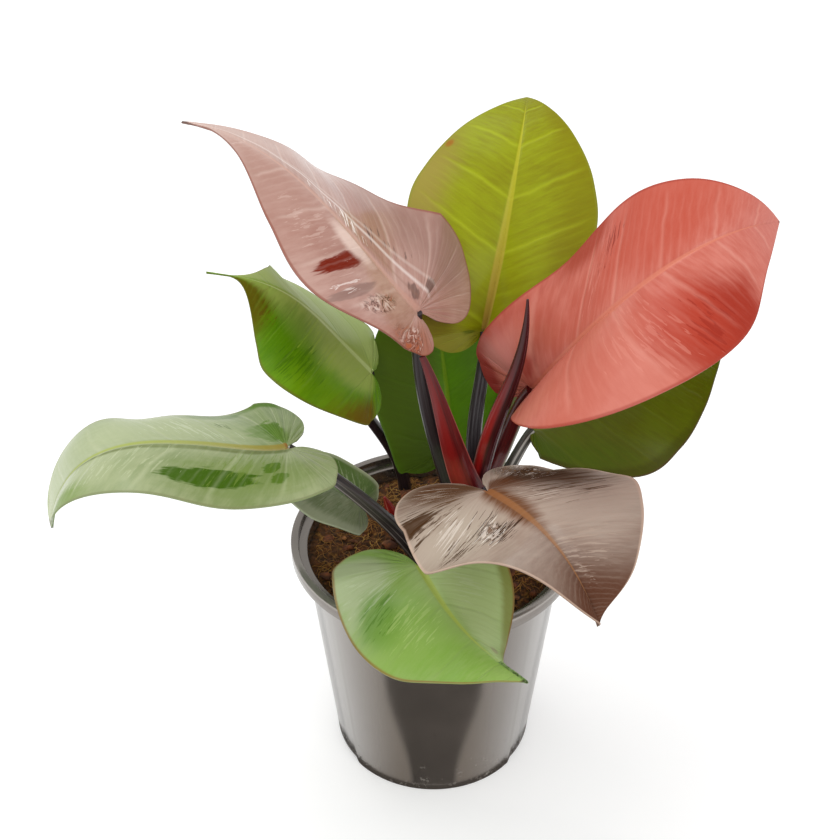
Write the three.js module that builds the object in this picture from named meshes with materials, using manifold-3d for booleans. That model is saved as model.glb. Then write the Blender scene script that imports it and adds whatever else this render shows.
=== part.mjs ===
// A potted cherry red philodendron: ten leaves on their stalks, a rolled new leaf and its red sheath,
// the short trunk they grow from, a young bud, the potting mix and the nursery pot.
// Units are millimetres, +Z is up, and the origin is the middle of the pot's base.
import * as THREE from "three";
import { mergeVertices } from "three/addons/utils/BufferGeometryUtils.js";
import Module from "manifold-3d";

const wasm = await Module();
wasm.setup();

// Driving dimensions.
const GAP = 0.35; // play between pieces that touch
const WELD = 1e-4; // corners closer than this are one corner

const POT = {
  height: 155,
  rimRadius: 85, // a 17 cm nursery pot
  rimHeight: 7.5,
  lipWidth: 4.5,
  lipDepth: 5.2,
  roundOver: 0.8,
  bodyTopRadius: 76.7, // the body under the rim
  baseRadius: 61,
  wall: 1.6,
  footHeight: 3.5,
  footWidth: 4.5,
  padRadius: 12, // the middle of the base, level with the foot
  slope: 1.4, // the run of each sloping face under the base
  notchHeight: 3.2, // the foot is cut away at both sides
  notchFrom: 50, // degrees from the front
  notchTo: 130,
  drainHoles: 8,
  drainRadius: 4.5,
  drainCircle: 36,
  segments: 50,
};

const SOIL = {
  top: 141,
  rings: 6,
  segments: 34,
  mound: 2.2, // how far the middle stands above the edge
  crumb: 1.5, // the height of the largest lumps
};

const BLADE = {
  thickness: 0.9,
  rows: 18, // along each half's edge
  columns: 3, // from midrib to edge
  firstKnot: 1, // the edge of a half starts at this knot of its outline
  veinSlant: 0.55, // how far a side vein runs forward for each millimetre outward
};

const MIDRIB = { baseRadius: 1.8, tipRadius: 0.6, from: 0.6, to: 0.88, sides: 5, steps: 6, sink: 0.95 };

const STALK = { sides: 8, steps: 12 };

// Each leaf: four points of its midrib from base to tip, then a value for the left and the right half, seen
// from above with the tip away. lean: how many degrees the half stands above level at those four points.
// half: the half's greatest width. lobe: how far it reaches behind the base. heel: the lobe's width as a share
// of half. full: how bluntly it narrows to the tip. widest: where it is widest, as a share of the length.
// arch: how many degrees a half turns down between midrib and edge. wave: the height of the edge's waves.
// tail, where a leaf has a long narrow tip: how much sooner it narrows, as a share of the length.
const LEAVES = [
  {
    name: "top_left",
    color: 0xb58f86,
    midrib: [[-10, -5, 315], [-41, -12, 362], [-77, -10, 403], [-127, 5, 420]],
    lean: [[-42, -22, -26, 10], [36, 1, -20, -10]],
    half: [50, 60],
    lobe: [20, 36],
    heel: [0.5, 1.16],
    full: [-0.24, -0.15],
    widest: [0.38, 0.38],
    arch: 22,
    wave: 1.2,
  },
  {
    name: "top_back",
    color: 0x96a012,
    midrib: [[29, 44, 272], [38, 63, 313], [47, 90, 356], [54, 134, 374]],
    lean: [[50, 10, -10, -10], [30, 0, -10, 0]],
    half: [59, 51],
    lobe: [14, 12],
    heel: [0.75, 0.75],
    full: [0.22, 0.15],
    widest: [0.4, 0.4],
    arch: 20,
    wave: 1,
  },
  {
    name: "right",
    color: 0xd07f72,
    midrib: [[55, -5, 264], [84, -40, 332], [123, -48, 375], [171, -25, 380]],
    lean: [[110, 58, 35, 50], [-36, -30, -43, -65]],
    half: [45, 60],
    lobe: [28, 8],
    heel: [0.95, 0.36],
    full: [0.34, 0.31],
    widest: [0.45, 0.3],
    arch: 18,
    wave: 1,
  },
  {
    name: "left",
    color: 0x4c8a14,
    midrib: [[-36, 27, 254], [-62, 16, 295], [-85, 5, 323], [-122, 5, 333]],
    lean: [[-30, -45, -50, -50], [8, 4, -5, -15]],
    half: [52, 46],
    lobe: [14, 6],
    heel: [0.72, 0.95],
    full: [0.2, 0],
    widest: [0.4, 0.36],
    tail: 0.08,
    arch: 20,
    wave: 0.8,
  },
  {
    name: "low_left",
    color: 0x7f9a63,
    midrib: [[-82, -25, 239], [-124, -38, 251], [-176, -48, 254], [-211, -52, 204]],
    lean: [[4, -3, 0, -10], [-4, -20, -14, 20]],
    half: [52, 52],
    lobe: [18, 18],
    heel: [0.95, 0.95],
    full: [0.03, 0.36],
    widest: [0.25, 0.25],
    arch: 18,
    wave: 1.2,
  },
  {
    name: "small_left",
    color: 0x55704a,
    midrib: [[-44, 2, 177], [-68, 5, 194], [-94, 8, 208], [-119, 10, 218]],
    lean: [[0, 0, 0, 0], [25, 10, -10, 0]],
    half: [34, 21],
    lobe: [8, 8],
    heel: [0.8, 0.9],
    full: [0.1, 0],
    widest: [0.3, 0.3],
    arch: 16,
    wave: 0.6,
  },
  {
    name: "front",
    color: 0x6c9548,
    midrib: [[-9, -48, 173], [6, -85, 175], [22, -120, 182], [45, -160, 194]],
    lean: [[10, -15, -40, -25], [5, -20, -15, -5]],
    half: [45, 54],
    lobe: [16, 19],
    heel: [0.95, 0.95],
    full: [-0.36, 0.06],
    widest: [0.25, 0.25],
    arch: 20,
    wave: 1,
  },
  {
    name: "front_right",
    color: 0x9a8278,
    midrib: [[29, -42, 222], [54, -81, 229], [71, -115, 226], [83, -130, 204]],
    lean: [[-12, 7, 15, 5], [0, -11, 18, 30]],
    half: [60, 63],
    lobe: [20, 32],
    heel: [0.8, 0.92],
    full: [0.1, 0],
    widest: [0.35, 0.35],
    arch: 20,
    wave: 1.2,
  },
  {
    name: "back_right",
    color: 0x3f520a,
    midrib: [[58, 26, 214], [98, 46, 211], [136, 58, 223], [171, 60, 247]],
    lean: [[0, 0, 0, 0], [-30, -35, -40, -40]],
    half: [45, 45],
    lobe: [6, 6],
    heel: [0.7, 0.5],
    full: [0.15, 0.14],
    widest: [0.4, 0.4],
    arch: 18,
    wave: 0.8,
  },
  {
    name: "back",
    color: 0x3a700a,
    midrib: [[11, 52, 181], [7, 66, 221], [2, 82, 258], [-2, 104, 281]],
    lean: [[20, 14, 6, 0], [0, 0, 0, 0]],
    half: [51, 44],
    lobe: [10, 10],
    heel: [0.8, 0.8],
    full: [0.1, 0.1],
    widest: [0.4, 0.4],
    arch: 16,
    wave: 0.8,
  },
];
const LOBE_TURN = 10; // degrees that the lobes bend down behind the base
const WAVE_COUNT = 2.6; // waves along each edge
const WAVE_LAG = 0.4; // how far the right edge's waves lag the left's, in waves
const TAIL_PINCH = 9; // how much a tail narrows the blade where it starts

// Stalks and shoots: four points of the centre line, and the radius at those four points.
const TRUNK = { points: [[4, -11, 120], [10, -11, 150], [17, -10, 175], [24, -9, 200]], radius: [11, 11, 10, 9] };
const NEW_LEAF = {
  points: [[25, -9, 196], [34, -12, 248], [44, -15, 285], [48, -16, 329]],
  radius: [4.8, 5.4, 3.7, 0.7],
  flatness: 0.8,
};
const SHEATH = {
  points: [[21, -18, 203], [12, -17, 227], [3, -15, 260], [-7, -13, 291]],
  radius: [7.8, 6.2, 3.9, 1.7],
  flatness: 0.46,
};
const BUD = {
  points: [[-22, 29, 132], [-24, 30, 142], [-27, 31, 151], [-30, 31, 159]],
  radius: [3.4, 4.2, 3.2, 0.7],
  flatness: 0.8,
};
const STALKS = {
  top_left: { points: [[13, -9, 183], [2, -6, 223], [-7, -4, 266], [-10, -5, 314]], radius: [5, 4.4, 3.8, 3] },
  right: { points: [[28, -4, 194], [38, 1, 216], [46, 1, 242], [54, -4, 263]], radius: [4.8, 4.8, 4.6, 4] },
  top_back: { points: [[25, -3, 193], [23, 12, 224], [27, 28, 249], [29, 43, 271]], radius: [4.4, 4.4, 4, 3.4] },
  front_right: { points: [[12, -14, 160], [20, -21, 186], [26, -31, 205], [29, -40, 220]], radius: [4.5, 4, 3.6, 3.2] },
  back_right: { points: [[16, -7, 158], [34, 2, 182], [47, 13, 202], [57, 25, 212.6]], radius: [4.8, 4.2, 3.6, 3.2] },
  low_left: { points: [[0, -8, 128], [-24, -20, 178], [-54, -26, 216], [-81, -25, 238]], radius: [5.5, 4.8, 4, 3.2] },
  left: { points: [[-19, 61, 120], [-25, 62, 170], [-42, 56, 206], [-37, 28, 252]], radius: [4.2, 3.8, 3.3, 2.8] },
  small_left: { points: [[-5, 12, 126], [-18, 9, 152], [-31, 5, 167], [-43, 2, 176]], radius: [3.6, 3.2, 2.8, 2.4] },
  front: { points: [[-3, -27, 124], [-5, -32, 147], [-8, -40, 163], [-9, -47, 172]], radius: [4, 3.6, 3.2, 3] },
  back: { points: [[8, 32, 124], [9, 42, 146], [11, 48, 164], [11, 51, 180]], radius: [4, 3.6, 3.2, 3] },
};

const COLORS = {
  pot: 0x45403c,
  soil: 0x6b3f1c,
  trunk: 0x4a2a26,
  stalk: 0x3b2f33,
  redStalk: 0x7d1414,
  newLeaf: 0x7a1c20,
  bud: 0xb5322c,
};

// Curves.
const radians = THREE.MathUtils.degToRad;
const clamp = THREE.MathUtils.clamp;

// The cubic through four values at t = 0, 1/3, 2/3 and 1.
function throughFour(values, t) {
  const a = 3 * t;
  const weights = [
    (-(a - 1) * (a - 2) * (a - 3)) / 6,
    (a * (a - 2) * (a - 3)) / 2,
    (-a * (a - 1) * (a - 3)) / 2,
    (a * (a - 1) * (a - 2)) / 6,
  ];
  return weights.reduce((sum, weight, i) => sum + weight * values[i], 0);
}

class FourPointCurve extends THREE.Curve {
  constructor(points) {
    super();
    this.points = points;
  }
  getPoint(t, target = new THREE.Vector3()) {
    const [x, y, z] = [0, 1, 2].map((axis) => throughFour(this.points.map((p) => p[axis]), t));
    return target.set(x, y, z);
  }
}

// Solids.
function withoutCollapsed(geometry) {
  const corners = geometry.index.array;
  const kept = [];
  for (let i = 0; i < corners.length; i += 3) {
    const [a, b, c] = corners.slice(i, i + 3);
    if (a !== b && b !== c && c !== a) kept.push(a, b, c);
  }
  return geometry.setIndex(kept);
}

function welded(geometry) {
  const bare = new THREE.BufferGeometry().setIndex(geometry.index);
  bare.setAttribute("position", geometry.getAttribute("position"));
  return withoutCollapsed(mergeVertices(bare, WELD));
}

function toSolid(geometry) {
  const closed = welded(geometry);
  const mesh = new wasm.Mesh({
    numProp: 3,
    vertProperties: new Float32Array(closed.attributes.position.array),
    triVerts: new Uint32Array(closed.index.array),
  });
  return new wasm.Manifold(mesh);
}

function toGeometry(solid) {
  const mesh = solid.getMesh();
  const geometry = new THREE.BufferGeometry();
  const corners = new Float32Array(mesh.numVert * 3);
  for (let i = 0; i < mesh.numVert; i++) {
    corners.set(mesh.vertProperties.subarray(i * mesh.numProp, i * mesh.numProp + 3), i * 3);
  }
  geometry.setAttribute("position", new THREE.BufferAttribute(corners, 3));
  geometry.setIndex(Array.from(mesh.triVerts));
  geometry.computeVertexNormals();
  return geometry;
}

const largestBody = (solid) => solid.decompose().reduce((a, b) => (b.volume() > a.volume() ? b : a));

const FRONT = new THREE.Vector3(0, -1, 0);

// A round bar is bent along a curve. Its radius follows four values, and flatness thins it from front to back.
function tubeAlong(curve, radius, { sides, steps }, flatness = 1, extra = 0) {
  const corner = (i) => {
    const angle = (2 * Math.PI * i) / sides;
    return new THREE.Vector2(Math.cos(angle), Math.sin(angle));
  };
  const section = new THREE.Shape(Array.from({ length: sides }, (_, i) => corner(i)));
  const bar = new THREE.ExtrudeGeometry(section, { depth: 1, steps, bevelEnabled: false });
  const frames = curve.computeFrenetFrames(steps);
  const position = bar.getAttribute("position");
  const across = new THREE.Vector3();
  for (let i = 0; i < position.count; i++) {
    const t = position.getZ(i);
    const station = Math.round(t * steps);
    const size = throughFour(radius, t) + extra;
    const tangent = frames.tangents[station];
    const side = flatness < 1 ? across.crossVectors(FRONT, tangent).normalize() : frames.normals[station];
    const front = new THREE.Vector3().crossVectors(tangent, side);
    const place = curve.getPointAt(t);
    place.addScaledVector(side, position.getX(i) * size);
    place.addScaledVector(front, position.getY(i) * (size * flatness + extra * (1 - flatness)));
    if (t === 0) place.addScaledVector(tangent, -extra);
    if (t === 1) place.addScaledVector(tangent, extra);
    position.setXYZ(i, place.x, place.y, place.z);
  }
  return toSolid(bar);
}

// An open surface gets the same triangles on both faces, half the thickness to each side, and walls between.
function thicken(surface, thickness) {
  surface.computeVertexNormals();
  const count = surface.attributes.position.count;
  const corners = [];
  for (const side of [0.5, -0.5]) {
    for (let i = 0; i < count; i++) {
      const point = new THREE.Vector3().fromBufferAttribute(surface.attributes.position, i);
      const normal = new THREE.Vector3().fromBufferAttribute(surface.attributes.normal, i);
      corners.push(...point.addScaledVector(normal, side * thickness));
    }
  }
  const faces = surface.index.array;
  const edges = new Set();
  for (let i = 0; i < faces.length; i += 3) {
    for (let k = 0; k < 3; k++) edges.add(faces[i + k] * count + faces[i + ((k + 1) % 3)]);
  }
  const triangles = [];
  for (let i = 0; i < faces.length; i += 3) {
    const [a, b, c] = faces.slice(i, i + 3);
    triangles.push(a, b, c, a + count, c + count, b + count);
  }
  for (const edge of edges) {
    const a = Math.floor(edge / count);
    const b = edge % count;
    if (!edges.has(b * count + a)) triangles.push(b, a, a + count, b, a + count, b + count);
  }
  const shell = new THREE.BufferGeometry();
  shell.setAttribute("position", new THREE.BufferAttribute(new Float32Array(corners), 3));
  return toSolid(shell.setIndex(triangles));
}

// Leaves.
const UP = new THREE.Vector3(0, 0, 1);

// The midrib at a distance from the base: where it is, and its directions to the tip, left and up.
// Behind the base it goes on straight back and bends down, for the lobes.
function midribAt(leaf, distance) {
  const reach = Math.max(...leaf.lobe);
  const t = clamp(distance / leaf.length, 0, 1);
  const ahead = leaf.curve.getTangentAt(t);
  const left = new THREE.Vector3().crossVectors(UP, ahead).normalize();
  const up = new THREE.Vector3().crossVectors(ahead, left);
  const point = leaf.curve.getPointAt(t);
  if (distance >= 0) return { point, left, up };
  const bend = radians(LOBE_TURN) / reach;
  const turn = -distance * bend;
  point.addScaledVector(ahead, -Math.sin(turn) / bend).addScaledVector(up, (Math.cos(turn) - 1) / bend);
  const bentUp = up.clone().multiplyScalar(Math.cos(turn)).addScaledVector(ahead, -Math.sin(turn));
  return { point, left, up: bentUp };
}

// The outline of one half: distances along and across the midrib, through eleven knots.
function outlineKnots(leaf, side) {
  const [width, lobe, full] = [leaf.half[side], leaf.lobe[side], leaf.full[side]];
  const [length, widest] = [leaf.length, leaf.widest[side]];
  const heel = leaf.heel[side] * width;
  const { tail = 0 } = leaf;
  const neck = (0.15 + 0.6 * full) * (1 - TAIL_PINCH * tail);
  return [
    [0, 0],
    [-0.45 * lobe, 0.08 * heel],
    [-0.88 * lobe, 0.26 * heel],
    [-lobe, 0.5 * heel],
    [-0.72 * lobe, 0.8 * heel],
    [-0.12 * lobe, heel],
    [widest * length, width],
    [(0.55 * widest + 0.4) * length, (0.79 + 0.6 * full) * width],
    [(0.8 - tail) * length, (0.42 + full) * width],
    [(0.925 - tail) * length, neck * width],
    [length, 0],
  ];
}

// A uniform Catmull-Rom curve through the knots, with mirrored end points.
function edgeAt(knots, t) {
  const last = knots.length - 1;
  const knot = (i, axis) => {
    if (i < 0) return 2 * knots[0][axis] - knots[1][axis];
    if (i > last) return 2 * knots[last][axis] - knots[last - 1][axis];
    return knots[i][axis];
  };
  const i = Math.min(Math.floor(t), last - 1);
  const f = t - i;
  const value = (axis) => {
    const [a, b, c, d] = [-1, 0, 1, 2].map((step) => knot(i + step, axis));
    const turn = (2 * a - 5 * b + 4 * c - d) * f * f + (3 * b - a - 3 * c + d) * f * f * f;
    return 0.5 * (2 * b + (c - a) * f + turn);
  };
  return { along: value(0), across: Math.max(value(1), 0) };
}

// A point of the blade from its distance along the midrib and its distance across, on one half.
function bladePoint(leaf, along, across, side) {
  const { point, left, up } = midribAt(leaf, along);
  const width = leaf.half[side];
  const share = across / width;
  const x = clamp(along / leaf.length, 0, 1);
  const arch = radians(leaf.arch);
  const start = radians(throughFour(leaf.lean[side], x)) + arch / 2;
  const slope = start - arch * share;
  const out = (width / arch) * (Math.sin(start) - Math.sin(slope));
  const rise = (width / arch) * (Math.cos(slope) - Math.cos(start));
  const phase = WAVE_COUNT * x + side * WAVE_LAG;
  const ripple = leaf.wave * share * share * Math.sin(2 * Math.PI * phase);
  point.addScaledVector(left, (side ? -1 : 1) * (out - ripple * Math.sin(slope)));
  return point.addScaledVector(up, rise + ripple * Math.cos(slope));
}

// Rows run from the midrib forward to the edge, as side veins do. Both halves share the midrib's points.
function bladeRows(leaf) {
  const knots = [outlineKnots(leaf, 0), outlineKnots(leaf, 1)];
  const last = knots[0].length - 1;
  return Array.from({ length: BLADE.rows + 1 }, (_, row) => {
    const t = BLADE.firstKnot + ((last - BLADE.firstKnot) * row) / BLADE.rows;
    const edges = knots.map((half) => edgeAt(half, t));
    const roots = edges.map((edge) => Math.max(edge.along - BLADE.veinSlant * edge.across, 0));
    return { edges, root: row === BLADE.rows ? leaf.length : (roots[0] + roots[1]) / 2 };
  });
}

function bladeSurface(leaf) {
  const rows = bladeRows(leaf);
  const sheet = new THREE.PlaneGeometry(2, 1, 2 * BLADE.columns, BLADE.rows);
  const position = sheet.getAttribute("position");
  for (let i = 0; i < position.count; i++) {
    const { edges, root } = rows[Math.round((position.getY(i) + 0.5) * BLADE.rows)];
    const side = position.getX(i) > 0 ? 1 : 0;
    const share = Math.abs(position.getX(i));
    const along = root + (edges[side].along - root) * share;
    const point = bladePoint(leaf, along, edges[side].across * share, side);
    position.setXYZ(i, point.x, point.y, point.z);
  }
  return welded(sheet);
}

// The midrib stands out under the blade and thins towards the tip.
class MidribCurve extends THREE.Curve {
  constructor(leaf) {
    super();
    this.leaf = leaf;
  }
  getPoint(t, target = new THREE.Vector3()) {
    const along = THREE.MathUtils.lerp(MIDRIB.from, MIDRIB.to * this.leaf.length, t);
    const { point, up } = midribAt(this.leaf, along);
    const radius = THREE.MathUtils.lerp(MIDRIB.baseRadius, MIDRIB.tipRadius, t);
    return target.copy(point).addScaledVector(up, -radius * MIDRIB.sink);
  }
}

function makeBlade(leaf) {
  leaf.curve = new FourPointCurve(leaf.midrib);
  leaf.length = leaf.curve.getLength();
  const blade = thicken(bladeSurface(leaf), BLADE.thickness);
  const radius = [0, 1, 2, 3].map((i) => THREE.MathUtils.lerp(MIDRIB.baseRadius, MIDRIB.tipRadius, i / 3));
  return blade.add(tubeAlong(new MidribCurve(leaf), radius, MIDRIB));
}

// Pot and potting mix.
// A profile of radius and height is turned round the upright axis.
function turned(profile, segments) {
  const points = profile.map(([radius, height]) => new THREE.Vector2(radius, height));
  return new THREE.LatheGeometry(points, segments).rotateX(Math.PI / 2);
}

const bodyRadius = (height) => {
  const under = POT.height - POT.rimHeight;
  return THREE.MathUtils.lerp(POT.baseRadius, POT.bodyTopRadius, height / under);
};
const floorTop = POT.footHeight + POT.wall;
const ledge = POT.height - POT.lipDepth;

function potProfile() {
  const { height, rimRadius, rimHeight, roundOver, lipWidth, baseRadius, padRadius, slope, footHeight } = POT;
  const footInside = baseRadius - POT.footWidth;
  return [
    [0, 0],
    [padRadius, 0],
    [padRadius + slope, footHeight],
    [footInside - slope, footHeight],
    [footInside, 0],
    [baseRadius, 0],
    [POT.bodyTopRadius, height - rimHeight],
    [rimRadius - roundOver, height - rimHeight],
    [rimRadius, height - rimHeight + roundOver],
    [rimRadius, height - roundOver],
    [rimRadius - roundOver, height],
    [rimRadius - lipWidth + roundOver, height],
    [rimRadius - lipWidth, height - roundOver],
    [rimRadius - lipWidth, ledge],
    [bodyRadius(ledge) - POT.wall, ledge],
    [bodyRadius(floorTop) - POT.wall, floorTop],
    [0, floorTop],
  ];
}

// A wedge that clears the foot between two angles from the front, on the right or the left side.
function footNotch(mirror) {
  const inside = POT.baseRadius - POT.footWidth - 2 * POT.slope;
  const outside = POT.baseRadius + POT.footWidth;
  const steps = 8;
  const angles = Array.from({ length: steps + 1 }, (_, i) =>
    radians(THREE.MathUtils.lerp(POT.notchFrom, POT.notchTo, i / steps) - 90),
  );
  const arc = (radius) => angles.map((a) => new THREE.Vector2(mirror * radius * Math.cos(a), radius * Math.sin(a)));
  const section = new THREE.Shape([...arc(outside), ...arc(inside).reverse()]);
  const block = new THREE.ExtrudeGeometry(section, { depth: POT.notchHeight + 1, bevelEnabled: false });
  return toSolid(block.translate(0, 0, -1));
}

function drainHole(index) {
  const angle = (2 * Math.PI * (index + 0.5)) / POT.drainHoles;
  const depth = 3 * POT.wall;
  const drill = new THREE.CylinderGeometry(POT.drainRadius, POT.drainRadius, depth, 12).rotateX(Math.PI / 2);
  const middle = (POT.footHeight + floorTop) / 2;
  return toSolid(drill.translate(POT.drainCircle * Math.cos(angle), POT.drainCircle * Math.sin(angle), middle));
}

function makePot() {
  let pot = toSolid(turned(potProfile(), POT.segments));
  for (const mirror of [1, -1]) pot = pot.subtract(footNotch(mirror));
  for (let i = 0; i < POT.drainHoles; i++) pot = pot.subtract(drainHole(i));
  return pot;
}

// Lumps of coir and bark: a few waves of different lengths and directions laid over each other.
function crumbs(x, y) {
  const coarse = Math.sin(0.31 * x + 0.17 * y + 1.1) * Math.sin(0.27 * y - 0.12 * x + 0.4);
  const fine = Math.sin(0.83 * x - 0.41 * y + 2.3) * Math.sin(0.77 * y + 0.35 * x);
  return SOIL.crumb * (0.6 * coarse + 0.4 * fine);
}

function makeSoil() {
  const facetLoss = Math.cos(Math.PI / POT.segments);
  const room = (height) => (bodyRadius(height) - POT.wall) * facetLoss - GAP;
  const bottom = floorTop + GAP;
  const shoulder = SOIL.top - 2 * SOIL.crumb;
  const edge = room(shoulder);
  const profile = [
    [0, bottom],
    [room(bottom), bottom],
    [edge, shoulder],
  ];
  for (let i = SOIL.rings; i >= 0; i--) profile.push([(edge * i) / (SOIL.rings + 0.35), SOIL.top]);
  const mix = turned(profile, SOIL.segments);
  const position = mix.getAttribute("position");
  for (let i = 0; i < position.count; i++) {
    if (position.getZ(i) < SOIL.top - SOIL.crumb) continue;
    const [x, y] = [position.getX(i), position.getY(i)];
    const share = Math.hypot(x, y) / edge;
    position.setZ(i, SOIL.top + SOIL.mound * (1 - share * share) + crumbs(x, y));
  }
  return toSolid(mix);
}

// Assembly.
const plant = new THREE.Group();

function addPiece(name, solid, color, roughness = 0.35) {
  const material = new THREE.MeshStandardMaterial({ color, roughness, metalness: 0 });
  const mesh = new THREE.Mesh(toGeometry(largestBody(solid)), material);
  mesh.name = name;
  plant.add(mesh);
}

// Stems are placed one after the other, and each keeps clear of those before it.
const placed = [];

function placeStem(name, stem, color) {
  const curve = new FourPointCurve(stem.points);
  let solid = tubeAlong(curve, stem.radius, STALK, stem.flatness);
  for (const other of placed) solid = solid.subtract(other.room);
  const room = tubeAlong(curve, stem.radius, STALK, stem.flatness, GAP);
  placed.push({ name, room });
  addPiece(name, solid, color);
}

placeStem("trunk", TRUNK, COLORS.trunk);
placeStem("new_leaf", NEW_LEAF, COLORS.newLeaf);
placeStem("stalk_top_left", STALKS.top_left, COLORS.stalk);
placeStem("red_sheath", SHEATH, COLORS.redStalk);
for (const leaf of LEAVES) {
  const name = "stalk_" + leaf.name;
  const color = leaf.name === "right" ? COLORS.redStalk : COLORS.stalk;
  if (!placed.some((stem) => stem.name === name)) placeStem(name, STALKS[leaf.name], color);
}
placeStem("bud", BUD, COLORS.bud);

for (const leaf of LEAVES) {
  const own = placed.find((stem) => stem.name === "stalk_" + leaf.name);
  addPiece("leaf_" + leaf.name, makeBlade(leaf).subtract(own.room), leaf.color, 0.3);
}

let mix = makeSoil();
for (const stem of placed) mix = mix.subtract(stem.room);
addPiece("potting_mix", mix, COLORS.soil, 0.95);
addPiece("pot", makePot(), COLORS.pot, 0.3);

export default plant;
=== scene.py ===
# %% [markdown]
# # A potted cherry red philodendron
#
# A young plant stands in a dark nursery pot. Ten glossy leaves in pink, coral, yellow-green, green and taupe
# grow on dark stalks from one short trunk, round a rolled new leaf and its red sheath.
# This lesson loads the plain CAD model as a fixed frame, makes each visible piece again with its real relief,
# gives every piece a procedural finish, and lights it like the photograph.

# %% Load the frame
import math

import bpy
import numpy as np
from mathutils import Matrix, Vector, noise


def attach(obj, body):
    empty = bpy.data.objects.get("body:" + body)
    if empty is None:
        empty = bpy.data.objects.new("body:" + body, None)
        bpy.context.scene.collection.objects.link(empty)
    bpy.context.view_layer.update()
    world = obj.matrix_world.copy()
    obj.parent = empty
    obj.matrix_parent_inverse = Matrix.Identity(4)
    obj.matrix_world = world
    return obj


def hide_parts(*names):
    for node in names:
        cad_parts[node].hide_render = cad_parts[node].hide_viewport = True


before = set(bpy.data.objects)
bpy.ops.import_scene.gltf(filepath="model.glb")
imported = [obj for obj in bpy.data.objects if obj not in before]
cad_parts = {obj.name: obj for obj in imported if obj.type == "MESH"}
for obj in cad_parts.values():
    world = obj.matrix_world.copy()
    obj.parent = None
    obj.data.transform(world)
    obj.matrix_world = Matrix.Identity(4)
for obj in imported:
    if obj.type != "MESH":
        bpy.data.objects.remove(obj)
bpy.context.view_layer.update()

print("frame:", len(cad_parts), "nodes")

# %% [markdown]
# ## The camera
#
# The photograph looks down at the plant from the front, about 36 degrees above level, with a mild telephoto
# lens. The camera is made first, so that everything after it can be judged from there. The plain Standard
# view is set too, because it keeps a white background white.

# %% Camera
MM = 0.001
LOOK_AT = Vector((-8.3, 0, 239.5)) * MM
ELEVATION = math.radians(36)
DISTANCE = 0.9
FOCAL_PIXELS = 1597
FRAME_PIXELS = 840
SENSOR = 36

camera_data = bpy.data.cameras.new("camera")
camera_data.sensor_width = SENSOR
camera_data.lens = SENSOR * FOCAL_PIXELS / FRAME_PIXELS
camera = bpy.data.objects.new("camera", camera_data)
bpy.context.scene.collection.objects.link(camera)
camera.location = LOOK_AT + DISTANCE * Vector((0, -math.cos(ELEVATION), math.sin(ELEVATION)))
camera.rotation_euler = (math.pi / 2 - ELEVATION, 0, 0)
bpy.context.scene.camera = camera
bpy.context.scene.view_settings.view_transform = "Standard"
print("camera lens:", round(camera_data.lens, 1), "mm")

# %% [markdown]
# ## Small tools
#
# An operator acts on everything that is selected, so each step starts from a clean selection.
# A helper adds a primitive, another runs one modifier and applies it, and a third marks a finished piece.


# %% Helpers for pieces
WELD = 0.02 * MM


def alone(piece):
    """Leaves only this piece selected and active."""
    if bpy.context.object and bpy.context.object.mode != "OBJECT":
        bpy.ops.object.mode_set(mode="OBJECT")
    bpy.ops.object.select_all(action="DESELECT")
    piece.select_set(True)
    bpy.context.view_layer.objects.active = piece


def start_from(add, name, **settings):
    """Adds a primitive with nothing else selected, and names it."""
    bpy.ops.object.select_all(action="DESELECT")
    add(**settings)
    piece = bpy.context.object
    piece.name = name
    piece.data.name = name
    return piece


def apply_modifier(piece, kind, **settings):
    """Runs one modifier on a piece, and applies it."""
    alone(piece)
    modifier = piece.modifiers.new(kind.title(), kind)
    for key, value in settings.items():
        setattr(modifier, key, value)
    bpy.ops.object.modifier_apply(modifier=modifier.name)


def corners_of(piece):
    """The vertices' places as an array."""
    places = np.empty(len(piece.data.vertices) * 3, np.float32)
    piece.data.vertices.foreach_get("co", places)
    return places.reshape(-1, 3).astype(float)


def put_corners(piece, places):
    """Moves the vertices to these places."""
    piece.data.vertices.foreach_set("co", np.asarray(places, np.float32).ravel())
    piece.data.update()


def select_faces(piece, test):
    """In edit mode, selects the faces whose middle and normal pass the test."""
    bpy.ops.object.mode_set(mode="OBJECT")
    for part in (piece.data.vertices, piece.data.edges):
        part.foreach_set("select", [False] * len(part))
    piece.data.polygons.foreach_set("select", [bool(test(f.center, f.normal)) for f in piece.data.polygons])
    bpy.ops.object.mode_set(mode="EDIT")
    bpy.ops.mesh.select_mode(type="FACE")


def cut_into_rings(piece, cuts):
    """Cuts a cylinder's long edges, those that run from end to end."""
    alone(piece)
    bpy.ops.object.mode_set(mode="EDIT")
    bpy.ops.mesh.select_mode(type="EDGE")
    bpy.ops.mesh.select_all(action="DESELECT")
    bpy.ops.object.mode_set(mode="OBJECT")
    for edge in piece.data.edges:
        low, high = (piece.data.vertices[i].co.z for i in edge.vertices)
        edge.select = abs(high - low) > 0.5
    bpy.ops.object.mode_set(mode="EDIT")
    bpy.ops.mesh.subdivide(number_cuts=cuts)
    bpy.ops.object.mode_set(mode="OBJECT")


def face_out(piece, merge=0.0):
    """Merges corners that lie closer than a distance, where one is given, and turns the faces outwards."""
    alone(piece)
    bpy.ops.object.mode_set(mode="EDIT")
    bpy.ops.mesh.select_all(action="SELECT")
    if merge:
        bpy.ops.mesh.remove_doubles(threshold=merge)
    bpy.ops.mesh.normals_make_consistent(inside=False)
    bpy.ops.object.mode_set(mode="OBJECT")


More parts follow.
